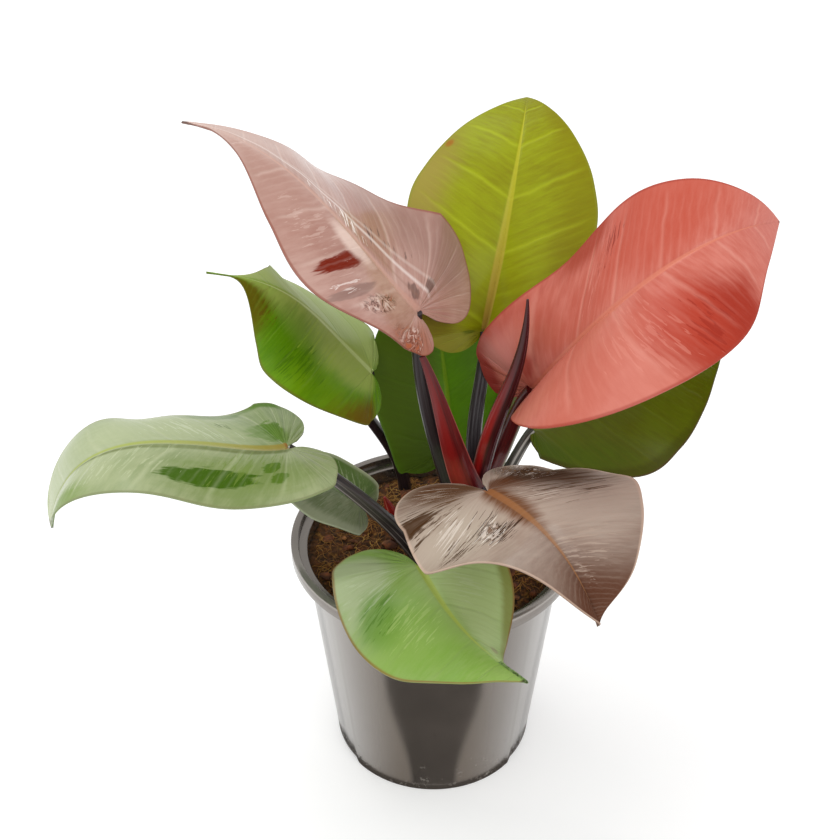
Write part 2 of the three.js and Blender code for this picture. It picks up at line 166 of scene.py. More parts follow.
def finish_piece(piece, material, slot, *nodes, smooth=60):
    """Smooths a piece, gives it its finish, and lets it ride on the plant in place of its CAD nodes."""
    alone(piece)
    bpy.ops.object.transform_apply(location=True, rotation=True, scale=True)
    bpy.ops.object.shade_smooth_by_angle(angle=math.radians(smooth))
    piece.data.materials.clear()
    piece.data.materials.append(material)
    if nodes:
        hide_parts(*nodes)
    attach(piece, "root")
    print(piece.name + ":", len(piece.data.polygons), "faces")


# %% [markdown]
# ## Finishes as sums
#
# A shader is a net of small nodes, and sums on masks are easier to read as sums. The class below wraps one
# socket: the usual signs add Math nodes, `mix` blends colours, and `node` adds any other kind.


# %% A socket that can be reckoned with
class Wire:
    """One output socket of a material's nodes."""

    def __init__(self, tree, socket=None):
        self.tree = tree
        self.socket = socket

    def node(self, kind, settings=None, inputs=None, output=0):
        """Adds a node: its settings are set first, then the values or links of its sockets."""
        made = self.tree.nodes.new("ShaderNode" + kind)
        for key, value in (settings or {}).items():
            setattr(made, key, value)
        for key, value in (inputs or {}).items():
            if isinstance(value, Wire):
                self.tree.links.new(value.socket, made.inputs[key])
            else:
                made.inputs[key].default_value = value
        return Wire(self.tree, made.outputs[output])

    def maths(self, operation, *values):
        return self.node("Math", {"operation": operation}, dict(enumerate(values)))

    def __add__(self, other):
        return self.maths("ADD", self, other)

    def __mul__(self, other):
        return self.maths("MULTIPLY", self, other)

    def __sub__(self, other):
        return self.maths("SUBTRACT", self, other)

    def __rsub__(self, other):
        return self.maths("SUBTRACT", other, self)

    def __pow__(self, other):
        return self.maths("POWER", self, other)

    __radd__ = __add__
    __rmul__ = __mul__

    def size(self):
        return self.maths("ABSOLUTE", self)

    def at_least(self, other):
        return self.maths("MAXIMUM", self, other)

    def to_nearest(self):
        """The distance to the nearest whole number."""
        return self.maths("PINGPONG", self, 0.5)

    def parts(self):
        """The three numbers of a vector."""
        split = self.node("SeparateXYZ", None, {0: self})
        return [Wire(self.tree, output) for output in split.socket.node.outputs]

    def rise(self, start, end, low=0.0, high=1.0):
        """A smooth step from low to high between two values."""
        settings = {"interpolation_type": "SMOOTHSTEP"}
        return self.node("MapRange", settings, {0: self, 1: start, 2: end, 3: low, 4: high})

    def mix(self, first, second):
        """This value as the factor between two colours."""
        return self.node("Mix", {"data_type": "RGBA"}, {0: self, 6: first, 7: second}, output=2)

    def vector(self, x, y, z=0.0):
        return self.node("CombineXYZ", None, {0: x, 1: y, 2: z})

    def cloud(self, place, scale, detail=3.0, rough=0.5, warp=0.0):
        """Soft noise from 0 to 1 at a place."""
        inputs = {"Vector": place, "Scale": scale, "Detail": detail, "Roughness": rough, "Distortion": warp}
        return self.node("TexNoise", None, inputs)


def tint(code):
    """A colour from its hex code, as the shader's linear values."""
    parts = [((code >> shift) & 255) / 255 for shift in (16, 8, 0)]
    return tuple(p / 12.92 if p <= 0.04045 else ((p + 0.055) / 1.055) ** 2.4 for p in parts) + (1.0,)


def new_finish(name):
    """A material with an empty principled shader, and the wire that adds its nodes."""
    material = bpy.data.materials.new(name)
    material.use_nodes = True
    tree = material.node_tree
    shader = tree.nodes["Principled BSDF"]
    return material, shader, Wire(tree)


def feed(wires, shader, **inputs):
    """Links wires to the shader's sockets, and sets plain values on them."""
    for key, value in inputs.items():
        socket = shader.inputs[key.replace("_", " ")]
        if isinstance(value, Wire):
            wires.tree.links.new(value.socket, socket)
        else:
            socket.default_value = value


# %% [markdown]
# ## Curves that the plant grows along
#
# Every stalk and midrib follows the smooth curve through four points, the same points as in the CAD model.
# A distance along the curve gives a place and a direction.


# %% Curves
UP = np.array([0.0, 0.0, 1.0])
FRONT = np.array([0.0, -1.0, 0.0])


def unit(vectors):
    return vectors / np.linalg.norm(vectors, axis=-1, keepdims=True)


def through_four(values, t):
    """The cubic through four values at t = 0, 1/3, 2/3 and 1."""
    a = 3 * np.asarray(t, float)
    weights = [
        -(a - 1) * (a - 2) * (a - 3) / 6,
        a * (a - 2) * (a - 3) / 2,
        -a * (a - 1) * (a - 3) / 2,
        a * (a - 1) * (a - 2) / 6,
    ]
    return np.stack(weights, -1) @ np.asarray(values, float)


class Line:
    """A curve through four points, read by its distance from the start, in millimetres."""

    def __init__(self, points, steps=400):
        self.points = points
        self.t = np.linspace(0, 1, steps + 1)
        path = through_four(points, self.t)
        self.run = np.concatenate([[0], np.cumsum(np.linalg.norm(np.diff(path, axis=0), axis=1))])
        self.length = self.run[-1]

    def at(self, distance):
        """The places and directions at these distances."""
        t = np.interp(distance, self.run, self.t)
        step = 1e-3
        ahead = through_four(self.points, t + step) - through_four(self.points, t - step)
        return through_four(self.points, t), unit(ahead)


print("a line of", round(Line([[0, 0, 0], [1, 0, 0], [2, 0, 0], [3, 0, 0]]).length, 3), "mm")

# %% [markdown]
# ## The leaves' shapes
#
# Each leaf has a midrib, and a left and a right half that lean, arch and wave on their own. The values are
# those of the CAD model. `lean` is how far a half stands above level at four places from base to tip, `half`
# its width, `lobe` how far it reaches behind the base, `heel` the lobe's width as a share of the half,
# `full` how bluntly it narrows, `widest` where it is widest, `arch` how far it turns down, `wave` its
# ripples, and `tail` how much sooner it narrows, where a leaf has a long narrow tip.

# %% Leaf shapes
LEAVES = {
    "top_left": dict(
        midrib=[[-10, -5, 315], [-41, -12, 362], [-77, -10, 403], [-127, 5, 420]],
        lean=[[-42, -22, -26, 10], [36, 1, -20, -10]],
        half=[50, 60], lobe=[20, 36], heel=[0.5, 1.16], full=[-0.24, -0.15], widest=[0.38, 0.38],
        arch=22, wave=1.2,
    ),
    "top_back": dict(
        midrib=[[29, 44, 272], [38, 63, 313], [47, 90, 356], [54, 134, 374]],
        lean=[[50, 10, -10, -10], [30, 0, -10, 0]],
        half=[59, 51], lobe=[14, 12], heel=[0.75, 0.75], full=[0.22, 0.15], widest=[0.4, 0.4],
        arch=20, wave=1,
    ),
    "right": dict(
        midrib=[[55, -5, 264], [84, -40, 332], [123, -48, 375], [171, -25, 380]],
        lean=[[110, 58, 35, 50], [-36, -30, -43, -65]],
        half=[45, 60], lobe=[28, 8], heel=[0.95, 0.36], full=[0.34, 0.31], widest=[0.45, 0.3],
        arch=18, wave=1,
    ),
    "left": dict(
        midrib=[[-36, 27, 254], [-62, 16, 295], [-85, 5, 323], [-122, 5, 333]],
        lean=[[-30, -45, -50, -50], [8, 4, -5, -15]], tail=0.08,
        half=[52, 46], lobe=[14, 6], heel=[0.72, 0.95], full=[0.2, 0], widest=[0.4, 0.36],
        arch=20, wave=0.8,
    ),
    "low_left": dict(
        midrib=[[-82, -25, 239], [-124, -38, 251], [-176, -48, 254], [-211, -52, 204]],
        lean=[[4, -3, 0, -10], [-4, -20, -14, 20]],
        half=[52, 52], lobe=[18, 18], heel=[0.95, 0.95], full=[0.03, 0.36], widest=[0.25, 0.25],
        arch=18, wave=1.2,
    ),
    "small_left": dict(
        midrib=[[-44, 2, 177], [-68, 5, 194], [-94, 8, 208], [-119, 10, 218]],
        lean=[[0, 0, 0, 0], [25, 10, -10, 0]],
        half=[34, 21], lobe=[8, 8], heel=[0.8, 0.9], full=[0.1, 0], widest=[0.3, 0.3],
        arch=16, wave=0.6,
    ),
    "front": dict(
        midrib=[[-9, -48, 173], [6, -85, 175], [22, -120, 182], [45, -160, 194]],
        lean=[[10, -15, -40, -25], [5, -20, -15, -5]],
        half=[45, 54], lobe=[16, 19], heel=[0.95, 0.95], full=[-0.36, 0.06], widest=[0.25, 0.25],
        arch=20, wave=1,
    ),
    "front_right": dict(
        midrib=[[29, -42, 222], [54, -81, 229], [71, -115, 226], [83, -130, 204]],
        lean=[[-12, 7, 15, 5], [0, -11, 18, 30]],
        half=[60, 63], lobe=[20, 32], heel=[0.8, 0.92], full=[0.1, 0], widest=[0.35, 0.35],
        arch=20, wave=1.2,
    ),
    "back_right": dict(
        midrib=[[58, 26, 214], [98, 46, 211], [136, 58, 223], [171, 60, 247]],
        lean=[[0, 0, 0, 0], [-30, -35, -40, -40]],
        half=[45, 45], lobe=[6, 6], heel=[0.7, 0.5], full=[0.15, 0.14], widest=[0.4, 0.4],
        arch=18, wave=0.8,
    ),
    "back": dict(
        midrib=[[11, 52, 181], [7, 66, 221], [2, 82, 258], [-2, 104, 281]],
        lean=[[20, 14, 6, 0], [0, 0, 0, 0]],
        half=[51, 44], lobe=[10, 10], heel=[0.8, 0.8], full=[0.1, 0.1], widest=[0.4, 0.4],
        arch=16, wave=0.8,
    ),
}
LOBE_TURN = math.radians(10)
VEIN_SLANT = 0.55
WAVE_COUNT = 2.6
WAVE_LAG = 0.4
FIRST_KNOT = 1
TAIL_PINCH = 9
print(len(LEAVES), "leaf shapes")


# %% Leaf sums: the midrib, the outline and a point of the blade
def midrib_at(leaf, distance):
    """Places, left and up directions along the midrib. Behind the base it goes back and bends down."""
    place, ahead = leaf["line"].at(np.clip(distance, 0, leaf["line"].length))
    left = unit(np.cross(UP, ahead))
    up = np.cross(ahead, left)
    bend = LOBE_TURN / max(leaf["lobe"])
    turn = (np.maximum(-distance, 0) * bend)[..., None]
    place = place - ahead * np.sin(turn) / bend + up * (np.cos(turn) - 1) / bend
    return place, left, up * np.cos(turn) - ahead * np.sin(turn)


def outline_knots(leaf, side):
    """Eleven points along and across one half's edge, from the base round the lobe to the tip."""
    width, lobe, full, widest = (leaf[key][side] for key in ("half", "lobe", "full", "widest"))
    heel = leaf["heel"][side] * width
    length = leaf["line"].length
    tail = leaf.get("tail", 0)
    neck = (0.15 + 0.6 * full) * (1 - TAIL_PINCH * tail)
    return np.array([
        [0, 0],
        [-0.45 * lobe, 0.08 * heel],
        [-0.88 * lobe, 0.26 * heel],
        [-lobe, 0.5 * heel],
        [-0.72 * lobe, 0.8 * heel],
        [-0.12 * lobe, heel],
        [widest * length, width],
        [(0.55 * widest + 0.4) * length, (0.79 + 0.6 * full) * width],
        [(0.8 - tail) * length, (0.42 + full) * width],
        [(0.925 - tail) * length, neck * width],
        [length, 0],
    ])


def edge_at(knots, t):
    """Distances along and across on the smooth curve through the knots."""
    ends = np.vstack([2 * knots[0] - knots[1], knots, 2 * knots[-1] - knots[-2]])
    i = np.minimum(t.astype(int), len(knots) - 2)
    f = (t - i)[:, None]
    a, b, c, d = (ends[i + step] for step in range(4))
    turn = (2 * a - 5 * b + 4 * c - d) * f**2 + (3 * b - a - 3 * c + d) * f**3
    edge = 0.5 * (2 * b + (c - a) * f + turn)
    return edge[:, 0], np.maximum(edge[:, 1], 0)


def blade_point(leaf, along, across, side):
    """Places on the blade, from the distances along and across and the half: 0 left, 1 right."""
    place, left, up = midrib_at(leaf, along)
    width = np.where(side, *leaf["half"][::-1])
    share = across / width
    x = np.clip(along / leaf["line"].length, 0, 1)
    arch = math.radians(leaf["arch"])
    lean = np.where(side, through_four(leaf["lean"][1], x), through_four(leaf["lean"][0], x))
    start = np.radians(lean) + arch / 2
    slope = start - arch * share
    out = width / arch * (np.sin(start) - np.sin(slope))
    rise = width / arch * (np.cos(slope) - np.cos(start))
    ripple = leaf["wave"] * share**2 * np.sin(2 * math.pi * (WAVE_COUNT * x + side * WAVE_LAG))
    sideways = np.where(side, -1, 1) * (out - ripple * np.sin(slope))
    return place + left * sideways[..., None] + up * (rise + ripple * np.cos(slope))[..., None]


# %% [markdown]
# ## Making a blade
#
# A blade starts as a flat grid whose rows become the side veins: each row starts on the midrib and runs
# forward to the edge. Its corners are moved by the leaf sums, because no transform tool knows them.
# The skin swells a little between the veins, a Solidify modifier gives it its thickness, and then the midrib
# is pressed in above and raised below. The grid's rows and columns stay on the blade as its UV map.

# %% Blade maker
ROWS = 108
COLUMNS = 18
THICKNESS = 0.9
SWELL = 0.34
UNREST = 0.5
GROOVE = 0.75
RIB = 2.1
EDGE_ROOM = 7
FULL_TURN = 6.28


class Grid:
    """A blade's corners: the row and share of each, its side, and its distances along and across."""

    def __init__(self, leaf, flat):
        self.length = leaf["line"].length
        self.share = np.sign(flat[:, 0]) * (0.3 * np.abs(flat[:, 0]) + 0.7 * flat[:, 0] ** 2)
        self.row = (flat[:, 1] + 1) / 2
        self.side = (self.share > 0).astype(int)
        knots = [outline_knots(leaf, half) for half in (0, 1)]
        t = FIRST_KNOT + (len(knots[0]) - 1 - FIRST_KNOT) * self.row
        edges = [edge_at(half, t) for half in knots]
        roots = [np.maximum(along - VEIN_SLANT * across, 0) for along, across in edges]
        root = np.where(self.row > 1 - 1e-6, self.length, (roots[0] + roots[1]) / 2)
        edge_along = np.where(self.side, edges[1][0], edges[0][0])
        edge_across = np.where(self.side, edges[1][1], edges[0][1])
        self.along = root + (edge_along - root) * np.abs(self.share)
        self.across = edge_across * np.abs(self.share)


def soft_waves(grid, seed, count=5):
    """A gentle unevenness: a few long waves over a blade."""
    random = np.random.default_rng(seed)
    total = np.zeros_like(grid.row)
    for _ in range(count):
        a = random.uniform(3, 13)
        b = random.uniform(-5, 5)
        phase = random.uniform(0, FULL_TURN)
        total += np.sin(a * grid.row + b * grid.share + phase) / count
    return total


def keep_as_uv(piece, grid):
    """Keeps row and share as the blade's UV map, each from 0 to 1."""
    uv = piece.data.uv_layers.active or piece.data.uv_layers.new(name="UVMap")
    uv.name = "UVMap"
    corner = np.empty(len(piece.data.loops), int)
    piece.data.loops.foreach_get("vertex_index", corner)
    uv.data.foreach_set("uv", np.stack([grid.row[corner], (grid.share[corner] + 1) / 2], -1).ravel())


def swell_of(leaf, grid):
    """How far the skin stands out between the veins, in millimetres."""
    between = 0.5 - 0.5 * np.cos(2 * math.pi * leaf["veins"] * grid.row)
    room = np.clip(grid.across / EDGE_ROOM, 0, 1) * np.clip((1 - np.abs(grid.share)) * 5, 0, 1)
    return SWELL * (between - 0.5) * room + UNREST * soft_waves(grid, leaf["seed"]) * room


def midrib_relief(grid):
    """The groove above the midrib and the ridge below it, in millimetres."""
    x = np.clip(grid.along / grid.length, 0, 1)
    narrow = 0.5 + 1.5 * (1 - x)
    middle = np.exp(-((grid.across / narrow) ** 2)) * np.clip(grid.length - grid.along, 0, 6) / 6
    wide = 0.8 + 2.2 * (1 - x)
    round_rib = np.sqrt(np.clip(1 - (grid.across / wide) ** 2, 0, 1))
    return GROOVE * (1 - 0.5 * x) * middle, RIB * (1 - 0.75 * x) * round_rib * np.clip(grid.along, 0, 3) / 3


def make_blade(name, leaf):
    leaf["line"] = Line(leaf["midrib"])
    piece = start_from(
        bpy.ops.mesh.primitive_grid_add, name, x_subdivisions=2 * COLUMNS, y_subdivisions=ROWS, size=2
    )
    grid = Grid(leaf, corners_of(piece))
    places = blade_point(leaf, grid.along, grid.across, grid.side)
    put_corners(piece, places * MM)
    keep_as_uv(piece, grid)
    normals = np.array([v.normal for v in piece.data.vertices])
    put_corners(piece, (places + normals * swell_of(leaf, grid)[:, None]) * MM)
    apply_modifier(piece, "SOLIDIFY", thickness=THICKNESS * MM, offset=0)
    groove, ridge = midrib_relief(grid)
    count = len(places)
    shell = corners_of(piece)
    shell[:count] -= normals * groove[:, None] * MM
    shell[count : 2 * count] -= normals * ridge[:, None] * MM
    put_corners(piece, shell)
    below = np.zeros(len(shell))
    below[count : 2 * count] = 1
    piece.data.attributes.new("under", "FLOAT", "POINT").data.foreach_set("value", below)
    face_out(piece, WELD)
    return piece


# %% [markdown]
# ## Leaf finishes
#
# Cherry red philodendron leaves open red, turn coral and bronze, then yellow-green, and end dark green, and
# each has a waxy shine. One recipe makes all ten: a base tone and a second tone that blend in clouds and fine
# streaks along the side veins, veins and midrib in their own colours, a thin margin line, and patches.
# A patch is given by its place on the blade: row from base to tip, share from -1 (left edge) to 1
# (right edge), its half sizes, its colour, how frayed it is along the veins, and its strength. Strokes fill
# such a place with fine brush marks, and their sixth number is how much of it they cover. Pale patches and
# strokes are painted sheen, the sky's reflection laid into the colour; dark ones are the leaf's own colour
# where no sheen shows. Every patch and stroke also takes away some of the shader's shine there.


# %% What a leaf's finish is painted with
STREAKS = (120, 3.0)
FINE = (300, 6)
BRUSH = (150, 2.6)
STROKES = (210, 3.2)
TWISTS = (60, 5)
SMALL_VEINS = 6
SMALL_SHARE = 0.08
FINE_SHARE = 0.25
# GLINT is the colour of the painted glints on crumpled folds.
GLINT = 0xE8DCD2
DRIP = 0x2A1A10


class Skin:
    """A blade's colour while it is painted, how much of its shine is taken away, and where on the blade each
    place is.
    """

    def __init__(self, w, seed):
        self.w = w
        self.seed = seed
        self.row, half, _ = w.node("UVMap", {"uv_map": "UVMap"}).parts()
        self.share = (half - 0.5) * 2
        self.across = self.share.size()
        self.cloud = w.cloud(w.node("TexCoord", output=3), 24, 3, 0.55)
        self.colour = None
        self.dulled = None
        self.crease = self.row * 0.0

    def grain(self, size, shift, detail, rough, warp=0.0):
        """Noise drawn out along the side veins: size is how many grains fit along and across."""
        place = self.w.vector(self.row * size[0], self.share * size[1], self.seed + shift)
        return self.w.cloud(place, 1.0, detail, rough, warp)

    def steps_from(self, spot):
        """How far each place lies from the middle of an oval spot: 1 is its edge."""
        middle, aside, half_rows, half_shares = spot
        along = (self.row - middle) * (1 / half_rows)
        across = (self.share - aside) * (1 / half_shares)
        return (along**2 + across**2) ** 0.5

    def lay(self, mask, shade):
        """Lays a shade over the colour where the mask is."""
        self.colour = mask.mix(self.colour, tint(shade))

    def lay_dulled(self, mask, shade):
        """Lays a shade, painted sheen or the leaf's own colour, and takes away shine there."""
        self.lay(mask, shade)
        self.dulled = self.dulled.at_least(mask)


# %% Coats of a leaf's finish
def paint_base(skin, look):
    """Two tones in clouds and streaks, and the tone of the tip."""
    streak = skin.grain(STREAKS, 0, 4, 0.65)
    blend = (skin.cloud * 0.8 + streak * 0.6 - 0.2).rise(0.3, 0.7)
    skin.colour = blend.mix(tint(look["tone"]), tint(look["second"]))
    toward_tip = skin.row.rise(*look.get("tip_from", (0.55, 1.0)))
    skin.lay(toward_tip * look.get("tip_share", 0.0), look.get("tip", look["second"]))
    skin.dulled = toward_tip * look.get("tip_dulled", 0.0)


def paint_patches(skin, look):
    fringe = skin.grain(look.get("brush", BRUSH), 4, 3, 0.6)
    for *spot, shade, fray, strength in look.get("patches", []):
        edge = 0.5 if fray < 1 else 0.16
        far = skin.steps_from(spot)
        mask = (far + (fringe - 0.5) * fray + (skin.cloud - 0.5) * 0.4).rise(1 + edge, 1 - edge)
        skin.lay_dulled(mask * strength, shade)


def paint_strokes(skin, look):
    for *spot, shade, cover, strength in look.get("strokes", []):
        brush = skin.grain(STROKES, 31 * spot[0], 3, 0.6, 0.5)
        edge = 0.62 - 0.24 * cover
        mask = (brush - skin.steps_from(spot) ** 2 * 0.16).rise(edge, edge + 0.04)
        skin.lay_dulled(mask * strength, shade)


def paint_crumples(skin, look):
    """Small folds in a brighter tone, with painted shade lines in their creases and painted glints; the folds
    also stand out of the skin and the crease lines sink into it.
    """
    for *spot, dark, bright in look.get("crumples", []):
        twist = skin.grain(TWISTS, 9 * spot[0], 3, 0.6, 1.6)
        mask = (skin.steps_from(spot) + (skin.cloud - 0.5) * 0.8).rise(1.1, 0.6)
        line = (twist - 0.5).size().rise(0.035, 0.008) * mask
        fold = twist.rise(0.56, 0.6) * mask
        light = twist.rise(0.43, 0.38) * mask
        # The fold tone, then painted glints, then painted shade along the crease lines.
        skin.lay(fold * 0.8, bright)
        skin.lay(light * 0.55, GLINT)
        skin.lay(line * 0.9, dark)
        skin.crease = skin.crease + (fold - line) * 0.8


def paint_veins(skin, look):
    """Side veins, small veins between them, pale and dark lines along ridges, the pale ones painted
    highlights, and the heights of both kinds of vein.
    """
    row, across = skin.row, skin.across
    wobble = row + (skin.grain((9, 3), 0, 2, 0.5) - 0.5) * 0.012
    vein = (wobble * look["veins"]).to_nearest().rise(0.075, 0.0)
    vein = vein * across.rise(0.0, 0.06) * across.rise(1.0, 0.75)
    small = (wobble * (look["veins"] * SMALL_VEINS)).to_nearest().rise(0.25, 0.0) * across.rise(1.0, 0.7)
    skin.lay(vein * (1 - skin.dulled * 0.75) * look.get("vein_share", 0.35), look["vein"])
    skin.lay(small * SMALL_SHARE, look["vein"])
    for start, slope, width, shade, strength in look.get("ridges", []):
        near = (skin.share - row * slope - start).size() + (skin.cloud - 0.5) * 0.02
        ridge = near.rise(width, 0.0) * row.rise(0.3, 0.5) * row.rise(1.0, 0.9)
        skin.lay(ridge * strength, shade)
    return vein, small


def paint_rib_and_margin(skin, look):
    row, across = skin.row, skin.across
    band = row.rise(0.3, 1.0, look.get("rib_wide", 0.045), 0.012)
    rib = (across - band).rise(0.014, -0.01) * row.rise(0.99, 0.9)
    rib_tone = row.rise(0.35, 0.75).mix(tint(look["rib"]), tint(look.get("rib_tip", look["rib"])))
    skin.colour = (rib * look.get("rib_share", 0.8)).mix(skin.colour, rib_tone)
    skin.lay(across.rise(0.965, 0.99) * look.get("margin_share", 0.7), look["margin"])
    skin.lay(row.rise(0.965, 0.985) * look.get("drip", 0.0), DRIP)


# %% Leaf finish maker
def make_leaf_finish(name, look):
    material, shader, w = new_finish(name)
    skin = Skin(w, look["seed"] * 3.7)
    fine = skin.grain(FINE, 9, 2, 0.5)
    paint_base(skin, look)
    paint_patches(skin, look)
    paint_strokes(skin, look)
    paint_crumples(skin, look)
    skin.lay((fine - 0.5).size() * FINE_SHARE, look["second"])
    vein, small = paint_veins(skin, look)
    paint_rib_and_margin(skin, look)
    under = w.node("Attribute", {"attribute_name": "under"}, output=2)
    skin.lay(under * 0.75, look["below"])
    relief = vein * -0.7 + small * -0.18 + fine * 0.2 + skin.cloud * 0.25 + skin.crease
    bump = w.node("Bump", None, {"Strength": 0.45, "Distance": 0.0006, "Height": relief})
    rough = look.get("rough", 0.3) + (skin.cloud - 0.5) * 0.12 + under * 0.15 + skin.dulled * 0.1
    shine = (1 - skin.dulled * 1.25).at_least(0.0) * (1 - under * 0.6) * look.get("coat", 0.3)
    feed(w, shader, Base_Color=skin.colour, Roughness=rough, Normal=bump, Coat_Weight=shine)
    feed(w, shader, Specular_IOR_Level=look.get("gloss", 0.2), Coat_Roughness=0.18)
    return material


# %% [markdown]
# ## The ten leaves
#
# The looks below were chosen from the photograph: from bronze pink at the top left, through
# yellow-green, coral and the green ones, to the taupe leaf at the front, whose streaks of sky reflection are
# painted into its colour. The pale sheens of the other leaves are painted into their colours too.

# %% Leaf looks: the pink, yellow-green and red ones
LOOKS = {
    "top_left": dict(
        # Painted sheen: the pale pinks of the tone, second tone and tip. Painted highlights: the two pale
        # ridges, the pale patch beside the midrib and the three pale strokes.
        tone=0xA97E72, second=0xC09C90, tip=0xC4AAA0, tip_share=0.8, tip_from=(0.6, 0.85), rib=0xC8A090,
        vein=0xDCC2B6, vein_share=0.36, margin=0x8A4A38, below=0x8C6F66, veins=15, coat=0.55, gloss=0.08,
        rough=0.32, slot="leaf_bronze_pink", drip=0.5,
        ridges=[
            (0.16, 0.1, 0.03, 0xF2E8E2, 0.6), (0.08, 0.06, 0.025, 0x94705F, 0.35),
            (0.36, -0.1, 0.03, 0xE2D2C8, 0.35),
        ],
        patches=[
            (0.7, -0.6, 0.12, 0.5, 0xA07264, 0.5, 0.5), (0.588, -0.46, 0.0125, 0.4, 0x741A00, 2.0, 1.0),
            (0.548, -0.62, 0.007, 0.34, 0x8A7068, 1.2, 0.7),
            (0.605, -0.12, 0.035, 0.12, 0xE8D2C6, 0.6, 0.8), (0.42, 0.7, 0.12, 0.4, 0x8C6A60, 0.5, 0.7),
            (0.43, 0.27, 0.03, 0.07, 0x64504A, 1.2, 0.75), (0.5, 0.12, 0.016, 0.06, 0x5E4842, 1.4, 0.7),
            (0.35, -0.8, 0.12, 0.5, 0xA4664A, 0.5, 0.6),
        ],
        strokes=[
            (0.64, -0.4, 0.08, 0.5, 0xDCC0B4, 0.38, 0.3), (0.63, 0.13, 0.06, 0.12, 0xFAF2EC, 0.55, 0.85),
            (0.57, 0.26, 0.03, 0.16, 0x5A4640, 0.42, 0.8), (0.53, 0.34, 0.03, 0.14, 0x6A544C, 0.4, 0.75),
            (0.555, -0.6, 0.012, 0.4, 0xEADDD6, 0.4, 0.7),
        ],
        crumples=[
            (0.525, -0.5, 0.014, 0.34, 0x4A1C0C, 0x8E3812), (0.42, -0.72, 0.08, 0.36, 0x6C3420, 0xB4643C),
        ],
    ),
    "top_back": dict(
        tone=0x807E0C, second=0x8E960E, rib=0xB98A52, rib_tip=0xB4B02C, vein=0xA8B41E, vein_share=0.45,
        margin=0x84862A, below=0x7F8A30, veins=10, coat=0.08, gloss=0.1, rough=0.4, rib_wide=0.07,
        slot="leaf_chartreuse",
        patches=[
            (0.56, -1.0, 0.2, 0.36, 0x97883C, 0.3, 0.9), (0.735, -0.93, 0.01, 0.04, 0x9C5A18, 0.3, 0.75),
            (0.62, 1.0, 0.25, 0.4, 0x7A6E04, 0.4, 0.5), (0.3, -0.75, 0.14, 0.5, 0x8C8838, 0.5, 0.8),
            (0.36, -0.3, 0.05, 0.1, 0x4C5C10, 0.8, 0.7), (0.44, -0.8, 0.05, 0.3, 0x6E6210, 0.5, 0.6),
        ],
    ),
    "right": dict(
        tone=0xBC5E4E, second=0xCC7869, tip=0xC2746A, tip_share=0.7, tip_from=(0.8, 1.0), rib=0xD07A62,
        vein=0xDB9484, vein_share=0.35, margin=0x9E3C2E, below=0xA05044, veins=12, coat=0.3, gloss=0.15,
        rough=0.36, rib_wide=0.06, slot="leaf_cherry",
        patches=[
            (0.62, 0.6, 0.12, 0.6, 0xC06A58, 0.5, 0.5), (0.755, 0.85, 0.07, 0.5, 0x9A2610, 0.7, 0.95),
            (0.72, 0.5, 0.04, 0.4, 0xAE3A26, 0.9, 0.6), (0.76, -0.7, 0.12, 0.6, 0xB4442E, 0.5, 0.6),
            (0.57, -0.95, 0.05, 0.2, 0x9A3420, 0.7, 0.8), (0.3, -0.9, 0.16, 0.2, 0x8E1C16, 0.4, 0.85),
            (0.44, -0.6, 0.04, 0.3, 0xC88078, 0.7, 0.7), (0.49, -0.25, 0.012, 0.1, 0xA02A20, 0.9, 0.6),
        ],
        # The two pale strokes are painted sheen.
        strokes=[
            (0.64, -0.66, 0.04, 0.3, 0x7A2018, 0.45, 0.7), (0.61, -0.4, 0.04, 0.4, 0xD88E80, 0.38, 0.4),
            (0.68, 0.5, 0.06, 0.6, 0xD48676, 0.36, 0.35), (0.74, 0.7, 0.05, 0.5, 0x8E1E0C, 0.4, 0.6),
        ],
    ),
}

